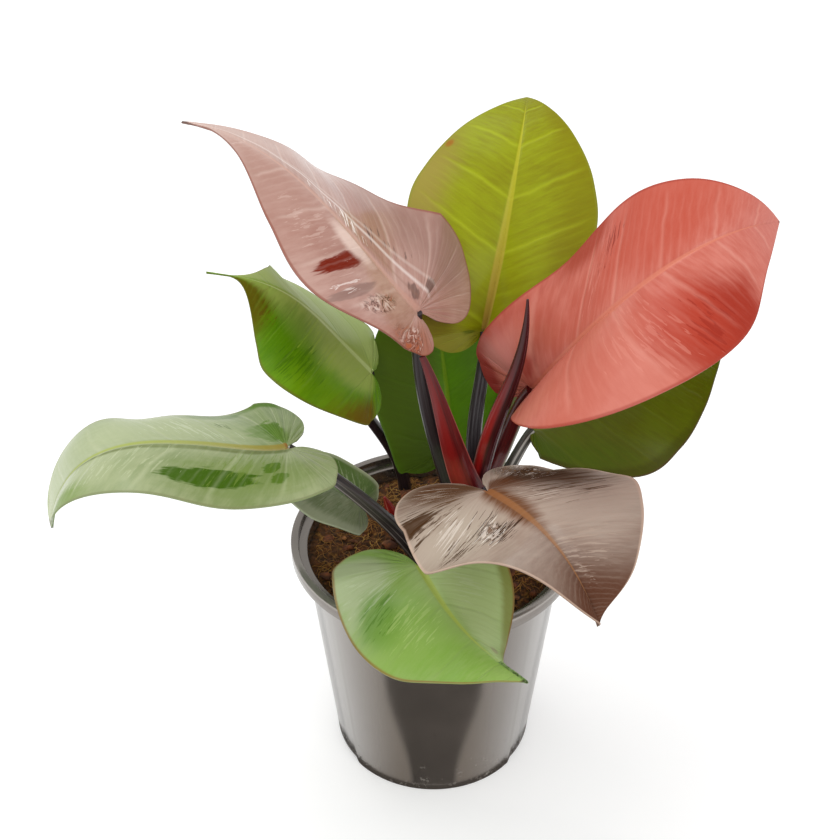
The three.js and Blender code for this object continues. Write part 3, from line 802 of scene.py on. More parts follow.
# %% Leaf looks: the green and grey ones on the left
LOOKS.update(
    left=dict(
        tone=0x548200, second=0x689408, rib=0xB8CA84, rib_share=0.95, vein=0x769A30, margin=0x6A6A20,
        below=0x5E7A38, veins=12, coat=0.1, gloss=0.1, rough=0.36, slot="leaf_green",
        # The two large pale patches are painted sheen.
        patches=[
            (0.62, 0.7, 0.5, 0.68, 0xA2B26A, 0.3, 0.92), (0.6, -0.16, 0.34, 0.3, 0xA0B25A, 0.5, 0.8),
            (0.86, -0.8, 0.07, 0.5, 0x5E4A06, 0.8, 0.85), (0.4, -0.95, 0.1, 0.4, 0x6A4408, 0.8, 0.85),
            (0.7, -0.55, 0.1, 0.4, 0x447000, 0.8, 0.6),
        ],
        strokes=[
            (0.6, -0.3, 0.1, 0.4, 0x94AE3C, 0.4, 0.5), (0.64, -0.7, 0.1, 0.4, 0x2E5400, 0.4, 0.5),
            (0.8, -0.6, 0.06, 0.3, 0x5A3E06, 0.4, 0.6),
        ],
    ),
    low_left=dict(
        # The pale grey-green tone, second tone and tip are painted sheen; the dark green patches are the
        # leaf's own green. The pale patch and the two pale strokes are painted sheen too.
        tone=0x7A8A58, second=0x98A276, tip=0xBAC49A, tip_share=0.8, rib=0x9A5E1C, rib_tip=0xA0AC50,
        vein=0xB6BE96, vein_share=0.4, margin=0x7C8258, below=0x7E9068, veins=12, coat=0.4, gloss=0.08,
        rough=0.3, rib_wide=0.075, drip=0.9, slot="leaf_pale_green", brush=(26, 13),
        patches=[
            (0.54, -0.55, 0.1, 0.34, 0x6A8236, 0.9, 0.5), (0.6, -0.64, 0.055, 0.13, 0x3A5C00, 1.8, 0.98),
            (0.53, -0.42, 0.012, 0.09, 0x4A6C0C, 1.4, 0.9), (0.51, -0.6, 0.014, 0.1, 0x4A6C0C, 1.6, 0.85),
            (0.47, 0.3, 0.08, 0.2, 0x4C700C, 1.4, 0.9), (0.36, 0.2, 0.12, 0.16, 0x5A7820, 0.9, 0.7),
            (0.42, 0.96, 0.07, 0.09, 0x4C7010, 0.9, 0.9), (0.55, 0.86, 0.05, 0.1, 0x54703A, 1.2, 0.6),
            (0.62, -0.1, 0.2, 0.05, 0x54601C, 0.6, 0.75), (0.66, 0.45, 0.12, 0.5, 0xB0BA92, 0.7, 0.6),
            (0.78, -0.9, 0.05, 0.3, 0x6C8A2C, 0.8, 0.7),
        ],
        strokes=[
            (0.62, 0.45, 0.09, 0.5, 0xCCD4B6, 0.34, 0.45), (0.56, -0.4, 0.08, 0.5, 0x6C8434, 0.4, 0.6),
            (0.72, -0.4, 0.1, 0.5, 0xC4CCA8, 0.36, 0.35), (0.56, 0.55, 0.02, 0.14, 0x3C5410, 0.35, 0.8),
        ],
    ),
    small_left=dict(
        # The paler patches and strokes are painted sheen.
        tone=0x586638, second=0x7C8262, rib=0x7E9468, vein=0x76825C, margin=0xA8AC90, below=0x5C7050,
        veins=10, coat=0.2, rough=0.36, slot="leaf_grey_green",
        patches=[
            (0.6, -0.95, 0.3, 0.2, 0x9A9E84, 0.8, 0.8), (0.52, 0.5, 0.2, 0.5, 0x44601C, 0.6, 0.8),
            (0.5, 1.0, 0.3, 0.1, 0x9CA082, 0.5, 0.7),
        ],
        strokes=[
            (0.55, 0.4, 0.2, 0.5, 0x96A078, 0.4, 0.6), (0.56, -0.4, 0.2, 0.5, 0x8E9678, 0.4, 0.5),
        ],
    ),
)

# %% Leaf looks: the two in front and the two at the back
LOOKS.update(
    front=dict(
        tone=0x82A848, second=0x92B05E, rib=0xB4C658, vein=0x8AA656, margin=0x8A5A2C, below=0x6E8A50,
        veins=11, coat=0.25, gloss=0.15, rough=0.32, rib_wide=0.05, slot="leaf_front_green", drip=0.95,
        # The large pale patch, the grey-green patch and the three pale strokes are painted sheen.
        patches=[
            (0.5, -0.5, 0.3, 0.6, 0xC0D694, 0.6, 0.85), (0.45, 0.72, 0.14, 0.36, 0xB4BE9A, 0.9, 0.8),
            (0.57, 0.66, 0.05, 0.24, 0x5A8C14, 0.9, 0.7), (0.66, 0.5, 0.08, 0.5, 0x7CA436, 0.8, 0.5),
            (0.735, -0.65, 0.012, 0.12, 0x9A8A74, 0.9, 0.6), (0.55, -0.95, 0.2, 0.1, 0x7C7A1C, 0.6, 0.7),
        ],
        strokes=[
            (0.56, 0.64, 0.05, 0.26, 0x3C7000, 0.45, 0.55), (0.5, 0.5, 0.08, 0.5, 0xC6D2AE, 0.38, 0.4),
            (0.62, 0.4, 0.08, 0.5, 0xB4CC7C, 0.4, 0.4), (0.56, -0.4, 0.12, 0.5, 0xCCDCAA, 0.35, 0.4),
        ],
    ),
    front_right=dict(
        # The pale taupe of the tone and second tone is painted sky reflection. The pale patches and pale
        # strokes are painted sheen streaks, and the dark brown patches and strokes between them are the
        # leaf's own colour.
        tone=0xA08C7E, second=0xB4A394, tip=0x502610, tip_share=0.92, tip_from=(0.64, 0.86),
        tip_dulled=0.9, rib=0x9A5A2C, rib_tip=0xA67850, vein=0xB8A494, vein_share=0.2, margin=0xD0B4A0,
        margin_share=0.6, below=0x7A6458, veins=11, coat=0.6, gloss=0.0, rough=0.28, drip=0.9,
        rib_wide=0.05, rib_share=0.7, slot="leaf_taupe",
        patches=[
            (0.52, 0.62, 0.12, 0.36, 0xB8AA9A, 0.9, 0.9), (0.2, 0.5, 0.22, 0.5, 0x543216, 0.8, 0.95),
            (0.62, -0.55, 0.12, 0.5, 0xC0B0A2, 0.9, 0.7), (0.455, 0.86, 0.018, 0.24, 0x48301C, 2.8, 0.95),
            (0.58, 0.0, 0.11, 0.13, 0x6C3E1A, 0.9, 0.9), (0.45, -0.6, 0.13, 0.36, 0x3C220E, 0.9, 0.95),
            (0.36, -0.2, 0.2, 0.24, 0x5A3014, 0.9, 0.9),
        ],
        strokes=[
            (0.3, 0.6, 0.14, 0.4, 0xC8BAAA, 0.35, 0.7), (0.42, 0.5, 0.1, 0.3, 0x5A3C22, 0.5, 0.9),
            (0.44, 0.85, 0.05, 0.25, 0x48301C, 0.5, 0.95), (0.57, 0.75, 0.05, 0.25, 0x48301C, 0.52, 0.95),
            (0.61, 0.36, 0.07, 0.3, 0x40281A, 0.58, 0.95), (0.6, 0.4, 0.06, 0.28, 0xE6DED2, 0.36, 0.9),
            (0.52, 0.6, 0.06, 0.3, 0xDCD2C6, 0.45, 0.7), (0.46, -0.6, 0.08, 0.4, 0xE2D6CA, 0.12, 0.9),
            (0.57, -0.5, 0.07, 0.5, 0x543A26, 0.46, 0.85), (0.58, -0.3, 0.06, 0.3, 0xD0C2B4, 0.3, 0.7),
            (0.76, -0.3, 0.1, 0.5, 0xBCA898, 0.36, 0.5),
        ],
        crumples=[
            (0.61, 0.38, 0.04, 0.16, 0x3A2416, 0x6B4A33), (0.34, -0.75, 0.16, 0.3, 0x3E2818, 0x7A5634),
        ],
    ),
    back_right=dict(
        tone=0x4A4D00, second=0x505A00, rib=0x666C1C, vein=0x5A6410, vein_share=0.2, margin=0x4E3A20,
        below=0x4C5C28, veins=10, coat=0.08, gloss=0.1, rough=0.4, slot="leaf_olive",
        patches=[
            (0.35, 0.6, 0.2, 0.4, 0x3A5404, 0.8, 0.6), (0.55, 0.95, 0.2, 0.1, 0x3A3A02, 0.5, 0.6),
        ],
    ),
    back=dict(
        tone=0x4A7200, second=0x528004, rib=0x6E8C10, vein=0x527614, vein_share=0.2, margin=0x50701C,
        below=0x4C6C2C, veins=10, coat=0.08, gloss=0.1, rough=0.4, slot="leaf_deep_green",
        patches=[
            (0.5, -0.6, 0.6, 0.5, 0x465614, 0.2, 0.85),
        ],
    ),
)

# %% Make the leaves
for number, (name, leaf) in enumerate(LEAVES.items()):
    look = LOOKS[name]
    look["seed"] = number + 1
    leaf.update(veins=look["veins"], seed=number + 1)
    blade = make_blade("blade_" + name, leaf)
    finish_piece(blade, make_leaf_finish("leaf_" + name, look), look["slot"], "leaf_" + name, smooth=50)

# %% [markdown]
# ## Stalks, trunk, sheath and new leaf
#
# A leaf stalk is a firm rod with a flattened face and fine ridges, and thickens towards the trunk. Each one
# is a cylinder whose long edges are cut into rings. The rings are then laid along the stalk's curve, and a
# small function shapes the section. Two numbers per corner, how far along and which way it faces, are kept as
# an attribute, so that a finish can run its stripes along the stalk.

# %% Stem maker
RINGS = 56
SIDES = 40


def make_stem(name, points, radius, section=None, flatness=1.0):
    piece = start_from(
        bpy.ops.mesh.primitive_cylinder_add, name, vertices=SIDES, radius=1, depth=1, end_fill_type="NGON"
    )
    cut_into_rings(piece, RINGS)
    straight = corners_of(piece)
    t = np.clip(straight[:, 2] + 0.5, 0, 1)
    angle = np.arctan2(straight[:, 1], straight[:, 0])
    line = Line(points)
    place, ahead = line.at(t * line.length)
    sideways = unit(np.cross(FRONT, ahead))
    front = np.cross(ahead, sideways)
    size = through_four(radius, t)
    if section:
        size = size * section(angle, t)
    across = sideways * (np.cos(angle) * size)[:, None] + front * (np.sin(angle) * size * flatness)[:, None]
    put_corners(piece, (place + across) * MM)
    around = piece.data.attributes.new("around", "FLOAT_VECTOR", "POINT")
    around.data.foreach_set("vector", np.stack([np.cos(angle), np.sin(angle), t], -1).ravel())
    face_out(piece, WELD)
    return piece


def bump_at(angle, degrees, width):
    """A smooth hump round one direction of a section."""
    turn = (angle - math.radians(degrees) + math.pi) % (2 * math.pi) - math.pi
    return np.exp(-((turn / math.radians(width)) ** 2))


def stalk_section(angle, t):
    """A shallow channel in front between two low ridges."""
    return 1 - 0.16 * bump_at(angle, 90, 26) + 0.05 * bump_at(angle, 48, 12) + 0.05 * bump_at(angle, 132, 12)


def sheath_section(angle, t):
    """Two keels with a hollow between them."""
    return 1 + 0.16 * bump_at(angle, 18, 9) + 0.16 * bump_at(angle, 162, 9) - 0.25 * bump_at(angle, 90, 40)


def roll_section(angle, t):
    """A rolled leaf: one turn of a spiral, with its free edge at the front right."""
    turn = (angle - math.radians(118)) % (2 * math.pi) / (2 * math.pi)
    return 0.9 + 0.16 * turn - 0.1 * bump_at(angle, 62, 16)


def trunk_section(angle, t):
    """Low rings where older leaves grew."""
    return 1 + 0.05 * np.sin(28 * t) ** 3 + 0.03 * np.sin(5 * angle + 3 * t)


# %% Stem finishes
def make_stem_finish(name, tone, second, ridge, ridges_and_highlights_at, rough=0.3, coat=0.5, lit_face=None):
    """Stripes along the stem between two tones, light lines round it, and one painted lit face, fading
    towards the top, if given. Some light lines sit on ridges and keels, others are painted highlights and
    reflections on the glossy side.
    """
    material, shader, w = new_finish(name)
    x, y, t = w.node("Attribute", {"attribute_name": "around"}, output=1).parts()
    lines = w.cloud(w.vector(x * 7, y * 7, t * 3), 1.0, 3, 0.6)
    threads = w.cloud(w.vector(x * 26, y * 26, t * 5), 1.0, 2, 0.5)

    def facing(degrees):
        """How far each place looks in one direction round the stem: 1 is straight at it."""
        return x * math.cos(math.radians(degrees)) + y * math.sin(math.radians(degrees))

    colour = lines.rise(0.35, 0.68).mix(tint(tone), tint(second))
    for degrees, width, strength in ridges_and_highlights_at:
        line = (facing(degrees) + (lines - 0.5) * 0.02).rise(math.cos(math.radians(width)), 1.0)
        colour = (line * strength).mix(colour, tint(ridge))
    if lit_face:
        degrees, width, shade, strength, top = lit_face
        face = facing(degrees).rise(math.cos(math.radians(width)), 0.97) * t.rise(top, top * 0.4)
        colour = (face * strength).mix(colour, tint(shade))
    relief = threads * 0.5 + lines * 0.5
    bump = w.node("Bump", None, {"Strength": 0.35, "Distance": 0.0004, "Height": relief})
    feed(w, shader, Base_Color=colour, Roughness=rough + (lines - 0.5) * 0.15, Normal=bump)
    feed(w, shader, Coat_Weight=coat * 0.6, Coat_Roughness=0.15, Specular_IOR_Level=0.25)
    return material


# Painted highlights and reflections: the pale line on the dark stalks' left side, the grooved stalk's two
# pale lines, the grey stalk's pale lines and the red stalk's grey-olive side. The sheath's pale lines lie on
# its keels, and the new leaf's on its free edge.
dark_stalk = make_stem_finish("stalk_dark", 0x1E1619, 0x33292D, 0x8C847E, [(4, 16, 0.7)])
grooved_stalk = make_stem_finish("stalk_grooved", 0x1C1719, 0x4A4240, 0x8E8680, [(62, 9, 0.8), (104, 7, 0.6)])
grey_stalk = make_stem_finish("stalk_grey", 0x2C2A24, 0x54504A, 0xB4B0A8, [(70, 16, 0.7), (120, 8, 0.6)])
red_stalk = make_stem_finish("stalk_red", 0x3E0A0E, 0x5C0E12, 0x7C7A64, [(150, 34, 0.9)])
# The sheath's and the new leaf's brighter red faces are painted lit sides, turned towards the light and
# fading towards the top.
sheath_red = make_stem_finish(
    "sheath_red", 0x4A080C, 0x66090E, 0xB4645C, [(16, 8, 0.8), (164, 8, 0.6)],
    lit_face=(60, 50, 0x8A1412, 0.6, 1.2),
)
roll_red = make_stem_finish(
    "new_leaf_red", 0x30090E, 0x460E14, 0x8E6878, [(122, 8, 0.7)], lit_face=(42, 44, 0x9A1C18, 0.85, 0.8)
)
trunk_brown = make_stem_finish(
    "trunk_brown", 0x2E1614, 0x3E201A, 0x5A3A2E, [(90, 30, 0.3)], rough=0.5, coat=0.2
)
bud_red = make_stem_finish("bud_red", 0x8E1C18, 0xA82A22, 0xD8806C, [(70, 16, 0.6)])

# %% Stem shapes, the same points as in the CAD model
STALKS = {
    "top_left": ([[13, -9, 183], [2, -6, 223], [-7, -4, 266], [-10, -5, 314]], [5, 4.4, 3.8, 3]),
    "right": ([[28, -4, 194], [38, 1, 216], [46, 1, 242], [54, -4, 263]], [4.8, 4.8, 4.6, 4]),
    "top_back": ([[25, -3, 193], [23, 12, 224], [27, 28, 249], [29, 43, 271]], [4.4, 4.4, 4, 3.4]),
    "front_right": ([[12, -14, 160], [20, -21, 186], [26, -31, 205], [29, -40, 220]], [4.5, 4, 3.6, 3.2]),
    "back_right": ([[16, -7, 158], [34, 2, 182], [47, 13, 202], [57, 25, 212.6]], [4.8, 4.2, 3.6, 3.2]),
    "low_left": ([[0, -8, 128], [-24, -20, 178], [-54, -26, 216], [-81, -25, 238]], [5.5, 4.8, 4, 3.2]),
    "left": ([[-19, 61, 120], [-25, 62, 170], [-42, 56, 206], [-37, 28, 252]], [4.2, 3.8, 3.3, 2.8]),
    "small_left": ([[-5, 12, 126], [-18, 9, 152], [-31, 5, 167], [-43, 2, 176]], [3.6, 3.2, 2.8, 2.4]),
    "front": ([[-3, -27, 124], [-5, -32, 147], [-8, -40, 163], [-9, -47, 172]], [4, 3.6, 3.2, 3]),
    "back": ([[8, 32, 124], [9, 42, 146], [11, 48, 164], [11, 51, 180]], [4, 3.6, 3.2, 3]),
}
SHOOTS = {
    "trunk": (
        [[4, -11, 120], [10, -11, 150], [17, -10, 175], [24, -9, 200]],
        [11, 11, 10, 9], trunk_section, 1.0,
    ),
    "new_leaf": (
        [[25, -9, 196], [34, -12, 248], [44, -15, 285], [48, -16, 329]],
        [4.8, 5.4, 3.7, 0.7], roll_section, 0.8,
    ),
    "red_sheath": (
        [[21, -18, 203], [12, -17, 227], [3, -15, 260], [-7, -13, 291]],
        [7.8, 6.2, 3.9, 1.7], sheath_section, 0.46,
    ),
    "bud": (
        [[-22, 29, 132], [-24, 30, 142], [-27, 31, 151], [-30, 31, 159]],
        [3.4, 4.2, 3.2, 0.7], roll_section, 0.8,
    ),
}
SHOOT_LOOKS = {
    "trunk": (trunk_brown, "trunk"),
    "new_leaf": (roll_red, "new_leaf"),
    "red_sheath": (sheath_red, "sheath"),
    "bud": (bud_red, "bud"),
}

# %% Make the stems
for name, (points, radius) in STALKS.items():
    finish = {"right": red_stalk, "low_left": grooved_stalk, "back_right": grey_stalk}.get(name, dark_stalk)
    stalk = make_stem("stem_" + name, points, radius, stalk_section)
    finish_piece(stalk, finish, "stalk_red" if name == "right" else "stalk_dark", "stalk_" + name, smooth=55)
for name, (points, radius, section, flatness) in SHOOTS.items():
    finish, slot = SHOOT_LOOKS[name]
    finish_piece(make_stem("shoot_" + name, points, radius, section, flatness), finish, slot, name, smooth=40)

# %% [markdown]
# ## The pot
#
# A thin injection-moulded nursery pot: a tapered wall, a stepped rim, a ledge inside it, a foot ring that is
# cut away at both sides, and drain holes. It starts as a cylinder. The top is scaled out for the taper, and
# the rim, the lip and the inside follow by extrude, inset and scale, as one would by hand.

# %% Pot dimensions
POT = dict(
    height=155, rim_radius=85, rim_height=7.5, lip_width=4.5, lip_depth=5.2, body_top=76.7, base_radius=61,
    wall=1.6, foot_height=3.5, foot_width=4.5, pad_radius=12, slope=1.4, notch_height=3.2, notch=(50, 130),
    holes=8, hole_radius=4.5, hole_circle=36, sides=144, edge=0.7,
)
UNDER_RIM = POT["height"] - POT["rim_height"]
TAPER = (POT["body_top"] - POT["base_radius"]) / UNDER_RIM


def wall_radius(height):
    """The outer radius of the pot's wall at a height, in millimetres."""
    return POT["base_radius"] + TAPER * height


# %% Pot steps: each goes on from the faces that the last one left selected
def scale_flat(factor):
    bpy.ops.transform.resize(value=(factor, factor, 1))


def raise_by(distance):
    bpy.ops.mesh.extrude_region_move(TRANSFORM_OT_translate={"value": (0, 0, distance * MM)})


def step_in(radius, new_radius):
    """Extrudes a disc in place, and scales it to another radius."""
    raise_by(0)
    scale_flat(new_radius / radius)


def raise_rim_and_sink_inside():
    inner_rim = POT["rim_radius"] - POT["lip_width"]
    ledge = POT["height"] - POT["lip_depth"]
    floor = POT["foot_height"] + POT["wall"]
    scale_flat(POT["body_top"] / POT["base_radius"])
    step_in(POT["body_top"], POT["rim_radius"])
    raise_by(POT["rim_height"])
    step_in(POT["rim_radius"], inner_rim)
    raise_by(-POT["lip_depth"])
    step_in(inner_rim, wall_radius(ledge) - POT["wall"])
    raise_by(floor - ledge)
    scale_flat((wall_radius(floor) - POT["wall"]) / (wall_radius(ledge) - POT["wall"]))


def cut_foot(foot_inside):
    """Sinks the base inside the foot ring, and leaves a round pad in the middle."""
    step_in(POT["base_radius"], foot_inside)
    raise_by(POT["foot_height"])
    scale_flat((foot_inside - POT["slope"]) / foot_inside)
    step_in(foot_inside - POT["slope"], POT["pad_radius"] + POT["slope"])
    raise_by(-POT["foot_height"])
    scale_flat(POT["pad_radius"] / (POT["pad_radius"] + POT["slope"]))


def cut_notches(pot, foot_inside):
    """Lifts the foot ring's underside at both sides of the pot."""
    places = corners_of(pot)
    turn = np.degrees(np.arctan2(np.abs(places[:, 0]), -places[:, 1]))
    radius = np.hypot(places[:, 0], places[:, 1])
    low, high = POT["notch"]
    cut = (places[:, 2] < 1e-4) & (radius > (foot_inside - 1) * MM) & (turn > low) & (turn < high)
    places[cut, 2] = POT["notch_height"] * MM
    put_corners(pot, places)


def drill_holes(pot):
    drill = start_from(
        bpy.ops.mesh.primitive_cylinder_add, "drill", vertices=28, end_fill_type="NGON",
        radius=POT["hole_radius"] * MM, depth=6 * MM, location=(POT["hole_circle"] * MM, 0, 4.3 * MM),
    )
    bpy.ops.object.transform_apply(location=True, rotation=True, scale=True)
    for i in range(POT["holes"]):
        cutter = drill.copy()
        cutter.data = drill.data.copy()
        cutter.data.transform(Matrix.Rotation(2 * math.pi * (i + 0.5) / POT["holes"], 4, "Z"))
        bpy.context.scene.collection.objects.link(cutter)
        apply_modifier(pot, "BOOLEAN", object=cutter, operation="DIFFERENCE", solver="EXACT")
        bpy.data.objects.remove(cutter)
    bpy.data.objects.remove(drill)


# %% Make the pot
def make_pot():
    foot_inside = POT["base_radius"] - POT["foot_width"]
    pot = start_from(
        bpy.ops.mesh.primitive_cylinder_add, "nursery_pot", vertices=POT["sides"], end_fill_type="NGON",
        radius=POT["base_radius"] * MM, depth=UNDER_RIM * MM, location=(0, 0, UNDER_RIM / 2 * MM),
    )
    bpy.ops.object.transform_apply(location=True, rotation=True, scale=True)
    select_faces(pot, lambda middle, normal: normal.z > 0.9)
    raise_rim_and_sink_inside()
    select_faces(pot, lambda middle, normal: normal.z < -0.9 and middle.z < 1e-4)
    cut_foot(foot_inside)
    bpy.ops.object.mode_set(mode="OBJECT")
    cut_notches(pot, foot_inside)
    face_out(pot)
    turn = math.radians(40)
    apply_modifier(pot, "BEVEL", width=POT["edge"] * MM, segments=3, limit_method="ANGLE", angle_limit=turn)
    drill_holes(pot)
    return pot


# %% Pot finish
def make_pot_finish():
    """Dark brown-grey plastic with a hard shine, dust, small scuffs, a few specks of potting mix, and a
    painted highlight on the front of the lip.
    """
    material, shader, w = new_finish("pot_plastic")
    place = w.node("TexCoord", output=3)
    _, back, height = place.parts()
    cloud = w.cloud(place, 14, 4, 0.6)
    dust = w.cloud(place, 160, 4, 0.65)
    specks = w.node("TexVoronoi", None, {"Vector": place, "Scale": 90})
    speck = specks.rise(0.12, 0.05) * w.cloud(place, 30, 1, 0.5).rise(0.58, 0.7)
    low = height.rise(0.045, 0.0)
    scuff = (dust + low * 0.1).rise(0.66, 0.76) * (cloud + low * 0.25).rise(0.52, 0.66)
    # The top of the lip, on the front half, is painted lighter as a highlight.
    sheen_lip = height.rise(0.1525, 0.1545) * back.rise(0.0, -0.045)
    colour = cloud.rise(0.3, 0.7).mix(tint(0x38322D), tint(0x443D38))
    colour = (scuff * 0.5).mix(colour, tint(0x9A948C))
    colour = (sheen_lip * 0.6).mix(colour, tint(0x9A9692))
    colour = (speck * 0.8).mix(colour, tint(0x1C120C))
    bump = w.node("Bump", None, {"Strength": 0.12, "Distance": 0.0005, "Height": dust * 0.4 + speck * 1.5})
    above_foot = height.rise(0.004, 0.009)
    feed(w, shader, Base_Color=colour, Roughness=0.12 + cloud * 0.1 + scuff * 0.3, Normal=bump)
    feed(w, shader, IOR=2.25, Specular_Tint=(1.0, 0.89, 0.79, 1))
    feed(w, shader, Coat_Weight=above_foot * 0.4, Coat_IOR=1.7, Coat_Roughness=0.14)
    return material


finish_piece(make_pot(), make_pot_finish(), "pot_plastic", "pot", smooth=20)

# %% [markdown]
# ## The potting mix
#
# Coir and bark fill the pot to just under the ledge. The bed is a grid laid out as a disc and pulled up
# into a block. Over it lie bark chips and golden coir fibres: one of each is modelled, and copies are
# turned, sized and bent with seeded random numbers.

# %% Bed of the potting mix
SOIL_TOP = 141
SOIL_RADIUS = 74.6
SOIL_BOTTOM = 6
SOIL_FOOT_RADIUS = 59.0
SOIL_WELD = 1e-6
BED_GRID = 120


def crumbs(x, y):
    """The lumps of the CAD model's mix, in millimetres."""
    coarse = np.sin(0.31 * x + 0.17 * y + 1.1) * np.sin(0.27 * y - 0.12 * x + 0.4)
    fine = np.sin(0.83 * x - 0.41 * y + 2.3) * np.sin(0.77 * y + 0.35 * x)
    return 1.5 * (0.6 * coarse + 0.4 * fine)


def soil_height(x, y):
    """The height of the mix at a place, in millimetres."""
    share = np.clip(np.hypot(x, y) / SOIL_RADIUS, 0, 1)
    return SOIL_TOP + 2.2 * (1 - share**2) + crumbs(x, y)


def make_bed():
    bed = start_from(
        bpy.ops.mesh.primitive_grid_add, "coir_bed", x_subdivisions=BED_GRID, y_subdivisions=BED_GRID, size=2
    )
    flat = corners_of(bed)
    x = flat[:, 0] * np.sqrt(1 - flat[:, 1] ** 2 / 2)
    y = flat[:, 1] * np.sqrt(1 - flat[:, 0] ** 2 / 2)
    disc = [x * SOIL_FOOT_RADIUS, y * SOIL_FOOT_RADIUS, np.full(len(flat), SOIL_BOTTOM)]
    put_corners(bed, np.stack(disc, -1) * MM)
    alone(bed)
    bpy.ops.object.mode_set(mode="EDIT")
    bpy.ops.mesh.select_all(action="SELECT")
    raise_by(SOIL_TOP - SOIL_BOTTOM)
    bpy.ops.object.mode_set(mode="OBJECT")
    places = corners_of(bed) / MM
    top = places[:, 2] > SOIL_BOTTOM + 1
    widen = SOIL_RADIUS / SOIL_FOOT_RADIUS
    wide = places[top] * [widen, widen, 1]
    lumps = [
        1.1 * noise.noise(Vector((a / 4, b / 4, 3))) + 0.7 * noise.noise(Vector((a / 1.6, b / 1.6, 8)))
        for a, b, _ in wide
    ]
    wide[:, 2] = soil_height(wide[:, 0], wide[:, 1]) + np.array(lumps)
    places[top] = wide
    put_corners(bed, places * MM)
    face_out(bed, SOIL_WELD)
    return bed


# %% Mix finishes
def make_mix_finish(name, dark, mid, light, scale, rough=0.95):
    """Crumbly brown with lighter threads."""
    material, shader, w = new_finish(name)
    place = w.node("TexCoord", output=3)
    warped = w.cloud(place, scale * 0.5, 2, 0.5)
    grains = w.node("TexVoronoi", None, {"Vector": place, "Scale": scale})
    cloud = w.cloud(place, scale * 0.7, 5, 0.7, 0.6)
    colour = cloud.rise(0.36, 0.66).mix(tint(dark), tint(mid))
    colour = (warped.rise(0.56, 0.7) * 0.6).mix(colour, tint(light))
    colour = (grains.rise(0.35, 0.75) * 0.5).mix(colour, tint(dark))
    bump = w.node("Bump", None, {"Strength": 0.8, "Distance": 0.001, "Height": cloud + grains * -0.5})
    feed(w, shader, Base_Color=colour, Roughness=rough, Normal=bump)
    return material


bed_finish = make_mix_finish("coir_bed", 0x34200E, 0x7C4A20, 0xB07C38, 420)
chip_finish = make_mix_finish("bark_chips", 0x44220F, 0x8E4E26, 0xB47C44, 260, 0.85)
fibre_finish = make_mix_finish("coir_fibres", 0x84541C, 0xC08A3A, 0xE0B25E, 60, 0.7)
finish_piece(make_bed(), bed_finish, "potting_mix", "potting_mix", smooth=70)

# %% Loose pieces on the mix
FIBRES = 900
CHIPS = 170
CHIP_SIZE = (1.2, 4.6)
FARTHEST = 73.5
chance = np.random.default_rng(23)


def soil_spot(spread=0.94):
    """A random place on the mix, in millimetres."""
    radius = SOIL_RADIUS * spread * math.sqrt(chance.random())
    angle = chance.uniform(0, 2 * math.pi)
    x, y = radius * math.cos(angle), radius * math.sin(angle)
    return np.array([x, y, float(soil_height(x, y))])


def copies_of(first, count, name, shape):
    """Copies a mesh many times, lets shape place each copy's corners, and joins them into one piece."""
    base = corners_of(first)
    made = []
    for i in range(count):
        copy = first.copy()
        copy.data = first.data.copy()
        bpy.context.scene.collection.objects.link(copy)
        put_corners(copy, shape(base, i) * MM)
        made.append(copy)
    bpy.data.objects.remove(first)
    alone(made[0])
    for copy in made:
        copy.select_set(True)
    bpy.ops.object.join()
    made[0].name = name
    return made[0]


def bent_fibre(base, i):
    """A thin thread laid in a loose bow on the mix."""
    length = chance.uniform(3, 15)
    width = chance.uniform(0.09, 0.24)
    heading = chance.uniform(0, FULL_TURN)
    bow = chance.uniform(-0.5, 0.5)
    lift = chance.uniform(0.2, 2.6)
    t = base[:, 2]
    spot = soil_spot()
    along = t * length
    across = bow * length * (t**2 - 0.25) + 0.6 * np.sin(9 * t + i) + base[:, 0] * width
    x = spot[0] + along * math.cos(heading) - across * math.sin(heading)
    y = spot[1] + along * math.sin(heading) + across * math.cos(heading)
    pull = np.minimum(1, FARTHEST / np.maximum(np.hypot(x, y), 1))
    x, y = x * pull, y * pull
    raised = 0.7 + lift * np.cos(math.pi * t) ** 2 * chance.uniform(0.2, 1)
    return np.stack([x, y, soil_height(x, y) + raised + base[:, 1] * width], -1)


def loose_chip(base, i):
    """A rough lump of bark, flattened and turned."""
    size = chance.uniform(*CHIP_SIZE)
    stretch = np.array([1, chance.uniform(0.45, 0.9), chance.uniform(0.25, 0.5)]) * size
    heading = Matrix.Rotation(chance.uniform(0, FULL_TURN), 3, "Z")
    turn = np.array(heading @ Matrix.Rotation(chance.uniform(-0.5, 0.5), 3, "X"))
    rough = np.array([1 + 0.35 * noise.noise(Vector(p * 1.7 + i)) for p in base])
    return soil_spot(0.93) + [0, 0, 0.35 * size] + (base * rough[:, None] * stretch) @ turn.T


thread = start_from(bpy.ops.mesh.primitive_cylinder_add, "thread", vertices=5, radius=1, depth=1)
cut_into_rings(thread, 6)
fibres = copies_of(thread, FIBRES, "coir_fibres", bent_fibre)
finish_piece(fibres, fibre_finish, "potting_mix", smooth=80)

lump = start_from(bpy.ops.mesh.primitive_ico_sphere_add, "lump", subdivisions=2, radius=1)
chips = copies_of(lump, CHIPS, "bark_chips", loose_chip)
finish_piece(chips, chip_finish, "potting_mix", smooth=40)

# %% [markdown]
# ## Floor, light and sky
#
# The photograph is a studio shot on white. A white floor, a large soft light above and behind, and softer
# fill from the front give the waxy leaves some shine, on top of the sheen painted into their colours, and a
# faint shadow.

# %% Floor and lights
AIM = (0, 0, 0.2)

